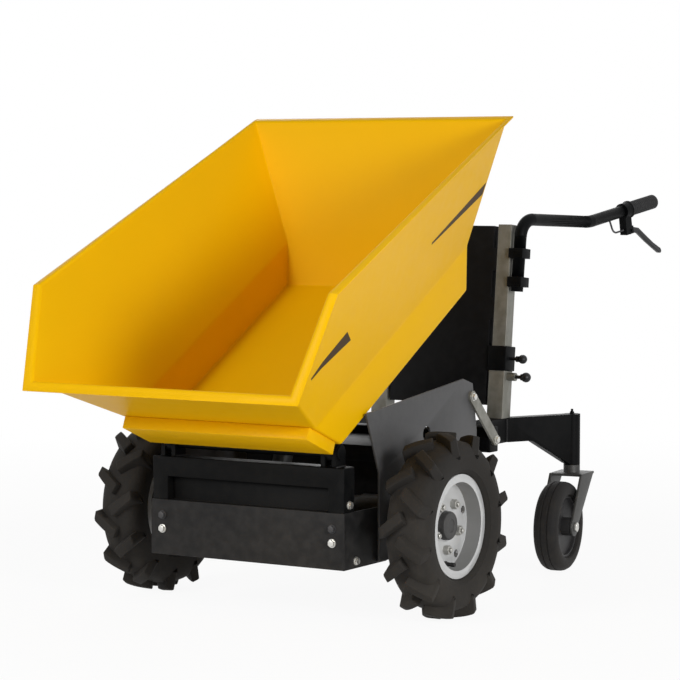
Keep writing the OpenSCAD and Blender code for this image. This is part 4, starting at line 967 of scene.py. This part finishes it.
@dataclass
class DriveWheel:
    """A drive tyre with slanted tread bars, its hub, nuts and valve."""

    side: Side
    axle_x: float = 0.381
    axle_y: float = -0.362436
    axle_z: float = 0.206031
    top_r: float = 0.2058
    crown_r: float = 0.189
    tread_r: float = 0.15
    foot_r: float = 0.160
    bars: int = 12
    bar_cuts: int = 7
    bar_round: float = 0.0024
    bar_facets: int = 3
    bar_round_from: float = radians(28)
    sweep: float = 0.044
    slant: float = 0.45
    skew: float = 0.9
    base_half: float = 0.0170
    top_half: float = 0.0118
    end_narrowing: float = 0.12
    end_lean: float = 0.003
    end_from: float = 0.99
    overlap: float = 0.004
    sunk: float = 0.004
    shoulder_fall: float = 0.004
    shoulder_from: float = 0.45
    shoulder_run: float = 0.3
    lug_reach: float = 0.0545
    lug_turn: float = radians(9)
    nuts: int = 5
    nut_circle: float = 0.054
    nut_across: float = 0.022
    nut_h: float = 0.013
    stud: Profile = ((0.0, 0.0055), (1.34, 0.0055), (1.4, 0.0047))
    valve_r: float = 0.086
    carcass: Profile = (
        (-0.0328, 0.1015), (-0.0328, 0.1160), (-0.0385, 0.1185), (-0.0440, 0.1240), (-0.0452, 0.1255),
        (-0.0466, 0.1262), (-0.0476, 0.1300), (-0.0505, 0.1430), (-0.0512, 0.1560), (-0.0500, 0.1660),
        (-0.0462, 0.1750), (-0.0390, 0.1820), (-0.0270, 0.1866), (-0.0120, 0.1886),
    )
    hub: Profile = (
        (-0.138, 0.0175), (-0.106, 0.0175), (-0.106, 0.0365), (-0.1045, 0.038), (-0.015, 0.038),
        (-0.015, 0.0695), (-0.0135, 0.071), (-0.0075, 0.071), (-0.006, 0.0695), (-0.006, 0.0318),
        (0.0110, 0.0318), (0.0140, 0.0304), (0.0160, 0.0270), (0.0160, 0.0150), (0.0146, 0.0138),
    )
    valve: Profile = (
        (-0.001, 0.0070), (0.003, 0.0070), (0.005, 0.0052), (0.016, 0.0044), (0.016, 0.0050),
        (0.024, 0.0050), (0.025, 0.0042),
    )

    def _place(self) -> Matrix:
        """The wheel's middle, with local Z along the axle and pointing outwards."""
        middle = shift(self.side.value * self.axle_x, self.axle_y, self.axle_z)
        return middle @ spin(self.side.value * pi / 2, "Y")

    def _carcass_r(self, height: float) -> float:
        """Radius of the carcass at a distance from its middle plane.

        Args:
            height: The distance, to either side.

        Returns:
            The radius.
        """
        points = sorted((abs(h), r) for h, r in self.carcass if r > self.tread_r)
        height = min(abs(height), points[-1][0])
        for (h0, r0), (h1, r1) in zip([(0.0, self.crown_r), *points], points):
            if h0 <= height <= h1 and h1 > h0:
                return r0 + (r1 - r0) * (height - h0) / (h1 - h0)
        return points[-1][1]

    def _bar(self, shape: Shape, turn: float, hand: float, place: Matrix) -> None:
        """Adds one tread bar, bent from a block onto the carcass.

        Args:
            shape: The tyre's shape.
            turn: Angle of the bar round the axle.
            hand: 1 for the outer half of the tread, -1 for the inner half.
            place: The wheel's place.
        """
        bar = Shape()
        bar.block(EVEN, shift(0.5, 0.0, 0.5))
        along = [e for e in bar.bm.edges if abs(e.verts[0].co.x - e.verts[1].co.x) > 0.5]
        bmesh.ops.subdivide_edges(bar.bm, edges=along, cuts=self.bar_cuts, use_grid_fill=True)
        for vert in bar.bm.verts:
            u, v, w = vert.co.x, vert.co.y * 2, vert.co.z
            reach = self.lug_reach - self.end_lean * w
            half = self.base_half + (self.top_half - self.base_half) * w
            half = half * (1.0 - self.end_narrowing * u)
            height = -self.overlap + (reach + self.overlap) * u - v * half * self.slant
            height = min(height, reach)
            low = self._carcass_r(height) - self.sunk if u < self.end_from else self.foot_r
            fall = max(0.0, u - self.shoulder_from) ** 2
            high = self.top_r - self.shoulder_fall * fall / self.shoulder_run
            radius = low + (high - low) * w
            swing = turn + ((u - 0.5) * self.sweep + v * half * self.skew) / self.top_r
            vert.co = (radius * cos(swing), radius * sin(swing), hand * height)
        bmesh.ops.recalc_face_normals(bar.bm, faces=bar.bm.faces)
        bar.soften(self.bar_round, self.bar_facets, self.bar_round_from)
        bar.move(place)
        shape.join(bar)

    def _tyre(self, place: Matrix) -> Shape:
        """The tyre with its bars, those of the inner half set between those of the outer one.

        Args:
            place: The wheel's place.

        Returns:
            The tyre.
        """
        shape = Shape.hoop(whole_outline(self.carcass), place, Facets.TYRE)
        hand = self.side.value
        for i in range(self.bars):
            self._bar(shape, hand * (self.lug_turn - 2 * pi * i / self.bars), 1.0, place)
            self._bar(shape, hand * (self.lug_turn - 2 * pi * (i + 0.5) / self.bars), -1.0, place)
        return shape

    def _wheel_nuts(self, place: Matrix) -> Shape:
        """The nuts on their circle, each with the end of its stud.

        Args:
            place: The wheel's place.

        Returns:
            All the nuts.
        """
        shape = Shape()
        stud = [(height * self.nut_h, radius) for height, radius in self.stud]
        for i in range(self.nuts):
            turn = spin(2 * pi * i / self.nuts, "Z")
            at = place @ turn @ shift(self.nut_circle, 0, 0)
            shape.hex_head(at, self.nut_across, self.nut_h)
            shape.disc_stack(stud, at, Facets.STEM)
        return shape

    def build(self, shop: Workshop) -> None:
        """Builds the tyre, the hub, its nuts and the valve.

        Args:
            shop: The workshop.
        """
        place = self._place()
        tag = self.side.tag
        body = f"wheel_{tag}"
        shop.piece(f"tyre_{tag}_lugged", self._tyre(place), "tyre_black", body, [f"tyre_{tag}"])
        hub = Shape.turned(self.hub, place, Facets.TURNED)
        shop.piece(f"hub_{tag}_turned", hub, "bolt_steel", body, [f"hub_{tag}"], look="hub_dark")
        shop.piece(f"wheel_nuts_{tag}", self._wheel_nuts(place), "bolt_steel", body, look="nut_zinc")
        valve = Shape.turned(self.valve, place @ shift(self.valve_r, 0, 0), Facets.STEM)
        shop.piece(f"valve_{tag}", valve, "tyre_black", body, look="soft_black")


@dataclass
class Caster:
    """The rounded, grooved tyre of a caster wheel."""

    side: Side
    swivel: Point = (0.269, 0.476564, 0.0)
    turn: float = radians(7)
    trail: float = 0.094
    radius: float = 0.110
    tread: Profile = (
        (-0.0217, 0.0760), (-0.0285, 0.0795), (-0.0307, 0.0850), (-0.0308, 0.0910), (-0.0290, 0.0985),
        (-0.0245, 0.1045), (-0.0180, 0.1083), (-0.0105, 0.1098), (-0.0095, 0.1080), (-0.0070, 0.1078),
        (-0.0060, 0.1099),
    )

    def build(self, shop: Workshop) -> None:
        """Builds the tyre and puts it in the CAD tyre's place.

        Args:
            shop: The workshop.
        """
        fork = shift(*self.swivel) @ spin(self.turn, "Z")
        axle = fork @ shift(0, -self.trail, self.radius) @ spin(pi / 2, "Y")
        tyre = Shape.hoop(whole_outline(self.tread), axle, Facets.CASTER).on(self.side)
        tag = self.side.tag
        node = f"caster_tyre_{tag}"
        shop.piece(f"{node}_round", tyre, "caster_rubber", f"caster_wheel_{tag}", [node])


@dataclass
class Column:
    """The leaning column: clamp and plunger knobs, stop button and panel trim."""

    foot: Point = (0.0, 0.282564, 0.380)
    lean: float = radians(-6)
    upright_x: float = 0.165
    clamp_at: tuple[float, float] = (0.0184, 0.146)
    clamp_stem: Profile = (
        (0.0, 0.004), (0.0225, 0.004), (0.0225, 0.0066), (0.0235, 0.0074), (0.0300, 0.0074), (0.0310, 0.0055),
    )
    clamp_ball: Point = (0.0405, 0.0112, 0.0055)
    plunger_at: tuple[float, float] = (0.0135, 0.10208)
    plunger_stem: Profile = (
        (0.0, 0.0040), (0.0006, 0.0045), (0.0440, 0.0045), (0.0440, 0.0080), (0.0470, 0.0080),
    )
    plunger_ball: Point = (0.0570, 0.0122, 0.0060)
    ball_angles: tuple[int, int, int] = (30, 180, 15)
    panel_y: float = 0.090
    box_back: float = 0.086
    switch: tuple[float, float] = (0.05905, 0.35892)
    button: Profile = (
        (-0.040, 0.009), (0.0110, 0.009), (0.0110, 0.0186), (0.0122, 0.0198), (0.0165, 0.0200),
        (0.0225, 0.0188), (0.0262, 0.0152), (0.0283, 0.0085),
    )
    collar: Profile = (
        (0.0, 0.0110), (0.0, 0.0255), (0.0012, 0.0262), (0.0026, 0.0255), (0.0030, 0.0224),
        (0.0026, 0.0213), (0.0006, 0.0210), (0.0006, 0.0120), (0.0, 0.0110),
    )
    bezel: Profile = (
        (0.0, 0.0112), (0.0, 0.0150), (0.0016, 0.0150), (0.0026, 0.0138), (0.0026, 0.0112), (0.0, 0.0112),
    )
    screw: Profile = ((0.0, 0.0046), (0.0010, 0.0046), (0.0024, 0.0036), (0.0030, 0.0022))
    screws: Profile = ((0.108, 0.277), (0.108, 0.441), (-0.108, 0.277), (-0.108, 0.441))
    lamp: Profile = ((0.0, 0.0044), (0.0016, 0.0044), (0.0032, 0.0034), (0.0040, 0.0018))
    lamps: Profile = ((-0.015, 0.352), (0.0, 0.352), (0.015, 0.352))
    gauge: Point = (0.056, 0.0024, 0.030)
    gauge_z: float = 0.405
    gauge_frame: float = 0.004
    gauge_sunk: float = 0.0012
    gauge_round: float = 0.0006

    def frame(self) -> Matrix:
        """The column's own frame, with Z up along the uprights."""
        return shift(*self.foot) @ spin(self.lean, "X")

    def _backwards(self, x: float, y: float, z: float) -> Matrix:
        """A place on the column with local Z pointing to the operator."""
        return self.frame() @ shift(x, y, z) @ spin(-pi / 2, "X")

    def _ball(self, middle: float, radius: float, stem: float) -> list[tuple[float, float]]:
        """The outline of a ball on a stem that ends in it.

        Args:
            middle: Height of the ball's middle.
            radius: Radius of the ball.
            stem: Radius of the stem.

        Returns:
            Height and radius of each point.
        """
        angles = [radians(a) for a in range(*self.ball_angles)]
        points = [(middle - radius * cos(a), radius * sin(a)) for a in angles]
        return [(points[0][0], stem), *points]

    def _domes(self, outline: Profile, places: Profile) -> Shape:
        """Small domes of one outline on the panel, at places across and up.

        Args:
            outline: Height and radius of each point of a dome.
            places: Where each dome goes.

        Returns:
            All the domes.
        """
        shape = Shape()
        for x, z in places:
            shape.disc_stack(outline, self._backwards(x, self.panel_y, z), Facets.DOME)
        shape.outward()
        return shape

    def _knobs(self, shop: Workshop, side: Side) -> None:
        """Builds the clamp knob and the plunger of one side.

        Args:
            shop: The workshop.
            side: The side of the machine.
        """
        upright = self.frame() @ shift(self.upright_x, 0, 0)
        rows = (
            (f"clamp_knob_{side.tag}", self.clamp_at, self.clamp_stem, self.clamp_ball),
            (f"plunger_{side.tag}", self.plunger_at, self.plunger_stem, self.plunger_ball),
        )
        for node, (out, up), stem, ball in rows:
            outward = upright @ shift(out, 0, up) @ spin(pi / 2, "Y")
            knob = Shape.turned([*stem, *self._ball(*ball)], outward, Facets.KNOB).on(side)
            shop.piece(f"{node}_ball", knob, "knob_black", node, [node])

    def _panel(self, shop: Workshop) -> None:
        """Builds the stop button, its collar and the panel's small parts.

        Args:
            shop: The workshop.
        """
        x, z = self.switch
        button = Shape.turned(self.button, self._backwards(x, self.box_back, z), Facets.TURNED)
        shop.piece("stop_button_mushroom", button, "stop_red", "stop_button", ["stop_button"])
        collar = Shape.hoop(self.collar, self._backwards(x, self.panel_y, z), Facets.TURNED)
        shop.piece("stop_collar", collar, "tub_yellow", "handle")
        bezel = Shape.hoop(self.bezel, self._backwards(-x, self.panel_y, z), Facets.BEZEL)
        shop.piece("key_bezel", bezel, "bolt_steel", "handle")
        screws = self._domes(self.screw, self.screws)
        shop.piece("panel_screws", screws, "bolt_steel", "handle")
        lamps = self._domes(self.lamp, self.lamps)
        shop.piece("panel_lamps", lamps, "panel_grey", "handle", look="lamp_green")
        gauge = Shape()
        middle = shift(0, self.panel_y + self.gauge[1] / 2, self.gauge_z)
        gauge.block(self.gauge, self.frame() @ middle)
        back = max(gauge.bm.faces, key=lambda f: f.calc_center_median().y)
        bmesh.ops.inset_region(gauge.bm, faces=[back], thickness=self.gauge_frame, depth=-self.gauge_sunk)
        gauge.soften(self.gauge_round)
        shop.piece("gauge_window", gauge, "knob_black", "handle", look="gauge_glass")

    def build(self, shop: Workshop) -> None:
        """Builds the knobs on both sides and the panel.

        Args:
            shop: The workshop.
        """
        for side in Side:
            self._knobs(shop, side)
        self._panel(shop)


@dataclass
class Grip:
    """A ribbed hand grip on the end of a handlebar, and the cable loop ahead of it."""

    side: Side
    bar_x: float = 0.201
    bar_y: float = 0.309146
    bar_r: float = 0.015
    splay: float = radians(9.3)
    end: tuple[float, float] = (0.579, 0.903)
    rise: float = radians(9.72758)
    length: float = 0.112
    radius: float = 0.0185
    play: float = 0.0002
    flange: float = 0.0225
    flange_outline: Profile = ((0.0, -0.0015), (0.0012, 0.0), (0.0032, 0.0))
    flange_foot: float = 0.0045
    plain: float = 0.012
    ribs: int = 12
    rib: Profile = ((0.0, 0.0014), (0.2, 0.0), (0.65, 0.0), (0.85, 0.0014))
    cap: float = 0.004
    cap_edge: float = 0.003
    cap_round: float = 0.004
    cable_d: float = 0.005
    cable_bend: float = 0.020
    cable_route: Profile = ((-0.139, -0.049), (-0.183, -0.049), (-0.197, -0.0075))
    cable_steps: int = 12
    cable_facets: int = 4

    def place(self) -> Matrix:
        """The bar's end on the right side, with local Y out along the bar."""
        bar = shift(self.bar_x, self.bar_y, 0) @ spin(-self.splay, "Z")
        return bar @ shift(0, *self.end) @ spin(self.rise, "X")

    def _cable_line(self) -> list[Vector]:
        """The cable's centreline from the lever bracket to the underside of the bar.

        Returns:
            Its points, on this grip's side.
        """
        start, corner, end = (Vector((0, *p)) for p in self.cable_route)
        along, away = (corner - start).normalized(), (end - corner).normalized()
        turn = along.angle(away)
        cut = self.cable_bend * tan(turn / 2)
        inward = (away - along * away.dot(along)).normalized()
        middle = corner - along * cut + inward * self.cable_bend
        points = [start]
        for i in range(self.cable_steps + 1):
            angle = turn * i / self.cable_steps
            points.append(middle + (along * sin(angle) - inward * cos(angle)) * self.cable_bend)
        last = corner + away * cut
        points.append(last + away * ((-self.bar_r - last.z) / away.z))
        hand = Matrix.Diagonal((self.side.value, 1, 1, 1)) @ self.place()
        return [hand @ p for p in points]

    def cable(self, shop: Workshop) -> None:
        """Args:
            shop: The workshop.
        """
        line = self._cable_line()
        curve = bpy.data.curves.new(f"lever_cable_{self.side.tag}", "CURVE")
        curve.dimensions = "3D"
        curve.bevel_depth, curve.bevel_resolution = self.cable_d / 2, self.cable_facets
        curve.use_fill_caps = True
        spline = curve.splines.new("POLY")
        spline.points.add(len(line) - 1)
        for point, at in zip(spline.points, line):
            point.co = (*at, 1.0)
        curve.materials.append(shop.finish("cable_grey"))
        made = linked(curve.name, curve)
        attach(made, "handle")
        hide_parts("lever_cables")

    def _outline(self) -> list[tuple[float, float]]:
        """The grip's outline from the bottom of its bore, round the flange and ribs, to its cap.

        Returns:
            Height and radius of each point.
        """
        inner = -self.length
        rings = [(self.play, 0.0), (self.play, self.bar_r + self.play), (inner, self.bar_r + self.play)]
        rings += [(inner + along, self.flange + out) for along, out in self.flange_outline]
        rings.append((inner + self.flange_foot, self.radius))
        start, stop = inner + self.plain, -self.plain
        pitch = (stop - start) / self.ribs
        for i in range(self.ribs):
            foot = start + pitch * i
            rings += [(foot + pitch * along, self.radius - depth) for along, depth in self.rib]
        rings += [(stop + self.cap_edge, self.radius), (self.cap - self.cap_edge, self.radius)]
        return [*rings, (self.cap, self.radius - self.cap_round), (self.cap, 0.0)]

    def build(self, shop: Workshop) -> None:
        """Builds the grip and puts it in the CAD grip's place.

        Args:
            shop: The workshop.
        """
        outward = self.place() @ spin(-pi / 2, "X")
        grip = Shape.hoop(self._outline(), outward, Facets.TURNED).on(self.side)
        tag = self.side.tag
        shop.piece(f"grip_{tag}_ribbed", grip, "soft_black", "handle", [f"grip_{tag}"])


@dataclass
class Fixings:
    """Bolt heads and weld beads on the frame."""

    head: float = 0.016
    head_h: float = 0.007
    washer: tuple[float, float] = (0.62, 0.60)
    washer_share: float = 0.25
    cover_y: float = -0.582436
    cover_x: float = 0.225
    cover_low: float = 0.18128
    cover_high: float = 0.21228
    sides: tuple[Point, ...] = ((0.256, -0.534436, 0.139), (0.253, -0.556936, 0.263))
    braces: tuple[Point, ...] = ((0.268, -0.030436, 0.460), (0.268, 0.082564, 0.350))
    bracket_x: tuple[float, ...] = (0.1925, 0.2315)
    bracket_y: tuple[float, float] = (-0.5764, -0.5374)
    beam_top: float = 0.345
    arm_root: tuple[float, float] = (0.1856, 0.2885)
    arm_z: tuple[float, float] = (0.322, 0.378)
    bead_r: float = 0.0028

    def _bolts(self, places: Iterable[Matrix]) -> Shape:
        """Hexagonal heads with washers at some places and at their mirror places.

        Args:
            places: The right-hand places, with local Z along the bolt.

        Returns:
            All the bolt heads.
        """
        shape = Shape()
        foot, top = (self.head * share for share in self.washer)
        under = self.head_h * self.washer_share
        for place in places:
            shape.disc_stack([(0.0, foot), (under, top)], place, Facets.WASHER)
            shape.hex_head(place @ shift(0, 0, under), self.head, self.head_h - under)
        shape.join_mirrored()
        return shape

    def _front(self, height: float) -> Matrix:
        """A bolt's place on the cover's front, with local Z pointing forwards."""
        return shift(self.cover_x, self.cover_y, height) @ spin(pi / 2, "X")

    @staticmethod
    def _side(at: Point) -> Matrix:
        """A bolt's place on the right side, with local Z pointing outwards."""
        return shift(*at) @ spin(pi / 2, "Y")

    def _beads(self) -> Shape:
        """The beads at the hinge brackets and at the roots of the caster arms.

        Returns:
            The beads of both sides.
        """
        shape = Shape()
        for x in self.bracket_x:
            shape.bead([(x, y, self.beam_top) for y in self.bracket_y], self.bead_r)
        shape.bead([(*self.arm_root, z) for z in self.arm_z], self.bead_r)
        shape.outward()
        shape.join_mirrored()
        return shape

    def build(self, shop: Workshop) -> None:
        """Builds the bolts and the beads.

        Args:
            shop: The workshop.
        """
        bright = self._bolts([self._front(self.cover_low), *map(self._side, self.sides)])
        shop.piece("cover_bolts_zinc", bright, "bolt_steel", "chassis", ["cover_bolts"])
        dark = self._bolts([self._front(self.cover_high)])
        shop.piece("cover_bolts_black", dark, "bolt_steel", "chassis", look="satin_bolt")
        braces = self._bolts(map(self._side, self.braces))
        shop.piece("brace_bolts", braces, "bolt_steel", "chassis")
        shop.piece("frame_welds", self._beads(), "frame_black", "chassis", look="weld_black")


@dataclass(frozen=True)
class Lamp:
    """A soft square lamp: its place, what it is turned to, its size and its power."""

    name: str
    at: Point
    towards: Point
    size: float
    power: float

    def build(self) -> None:
        """Adds the lamp to the scene."""
        data = bpy.data.lights.new(self.name, "AREA")
        data.size, data.energy = self.size, self.power
        aim(linked(self.name, data), self.at, self.towards)


@dataclass
class Studio:
    """Camera, lamps, floor and white surroundings."""

    eye: Point = (3.1802, -5.31423, 0.9905)
    target: Point = (0.0786, -0.31369, 0.60167)
    lens: float = 137.65
    sensor: float = 36.0
    far_clip: float = 200.0
    white: tuple[float, float, float, float] = (1.0, 1.0, 1.0, 1.0)
    sky: float = 0.22
    floor_size: float = 60.0
    floor_colour: tuple[float, float, float, float] = (0.9, 0.9, 0.9, 1.0)
    floor_roughness: float = 0.9
    glow_share: float = 0.93
    glow_near: float = 1.3
    glow_far: float = 3.6
    lamps: tuple[Lamp, ...] = (
        Lamp("key", (-1.3, -5.0, 2.4), (0.0, -0.3, 0.6), 1.6, 114.0),
        Lamp("side", (4.4, -2.0, 1.5), (0.0, -0.2, 0.6), 1.2, 114.0),
        Lamp("back", (-2.8, 4.4, 2.4), (0.0, 0.0, 0.5), 2.5, 45.0),
        Lamp("top", (0.3, 0.8, 4.6), (0.0, -0.2, 0.6), 3.0, 4.0),
    )

    def camera(self) -> None:
        """Looks from the photograph's side."""
        data = bpy.data.cameras.new("camera")
        data.lens, data.sensor_width, data.sensor_fit = self.lens, self.sensor, "HORIZONTAL"
        data.clip_end = self.far_clip
        camera = linked("camera", data)
        aim(camera, self.eye, self.target)
        bpy.context.scene.camera = camera

    @staticmethod
    def _seen(tree: Tree) -> Socket:
        """1 where the camera looks at the surface, straight or by way of metal and glass.

        Args:
            tree: The tree of the floor or of the surroundings.

        Returns:
            The socket that says so.
        """
        rays = tree.add("ShaderNodeLightPath").outputs
        mirrored = tree.math("MAXIMUM", rays["Is Glossy Ray"], rays["Is Transmission Ray"])
        return tree.math("MAXIMUM", rays["Is Camera Ray"], mirrored)

    def _world(self) -> None:
        """White to the eye, plain grey to the light."""
        world = bpy.data.worlds.new("surroundings")
        bpy.context.scene.world = world
        world.use_nodes = True
        tree = Tree(world.node_tree)
        levels = {"Value": self._seen(tree), "To Min": self.sky, "To Max": 1.0}
        strength = tree.add("ShaderNodeMapRange", levels).outputs["Result"]
        tree.feed(tree.tree.nodes["Background"], {"Color": self.white, "Strength": strength})

    def _floor(self) -> None:
        """A pale floor that stays white to the eye and keeps the shadow."""
        shape = Shape()
        bmesh.ops.create_grid(shape.bm, x_segments=1, y_segments=1, size=self.floor_size / 2)
        mesh = shape.mesh("floor")
        floor = linked("floor", mesh)
        made = bpy.data.materials.new("pale_floor")
        made.use_nodes = True
        tree = Tree(made.node_tree)
        matt = tree.tree.nodes["Principled BSDF"]
        tree.feed(matt, {"Base Color": self.floor_colour, "Roughness": self.floor_roughness})
        glow = tree.add("ShaderNodeEmission", {"Strength": 1.0})
        place = tree.add("ShaderNodeTexCoord").outputs["Object"]
        away = tree.add("ShaderNodeVectorMath", {0: place}, operation="LENGTH").outputs["Value"]
        far = tree.ramp(away, self.glow_near, self.glow_far)
        share = tree.math("ADD", tree.math("MULTIPLY", far, 1.0 - self.glow_share), self.glow_share)
        share = tree.math("MULTIPLY", self._seen(tree), share)
        blend = tree.add("ShaderNodeMixShader", {0: share, 1: matt.outputs[0], 2: glow.outputs[0]})
        tree.feed(tree.tree.nodes["Material Output"], {"Surface": blend.outputs[0]})
        mesh.materials.append(made)

    def build(self) -> None:
        """Sets up the surroundings, the floor and the lamps."""
        self._world()
        self._floor()
        for lamp in self.lamps:
            lamp.build()
        bpy.context.scene.view_settings.view_transform = "Standard"


def main() -> None:
    """Builds the pieces in order."""
    logging.basicConfig(level=logging.INFO, format="%(name)s: %(message)s")
    studio = Studio()
    studio.camera()
    shop = Workshop()
    grips = [Grip(side) for side in Side]
    for grip in grips:
        grip.cable(shop)
    studio.build()
    Bodywork().build(shop)
    Tub().build(shop)
    for side in Side:
        DriveWheel(side).build(shop)
        Caster(side).build(shop)
    for grip in grips:
        grip.build(shop)
    Column().build(shop)
    Fixings().build(shop)


if __name__ == "__main__":
    main()
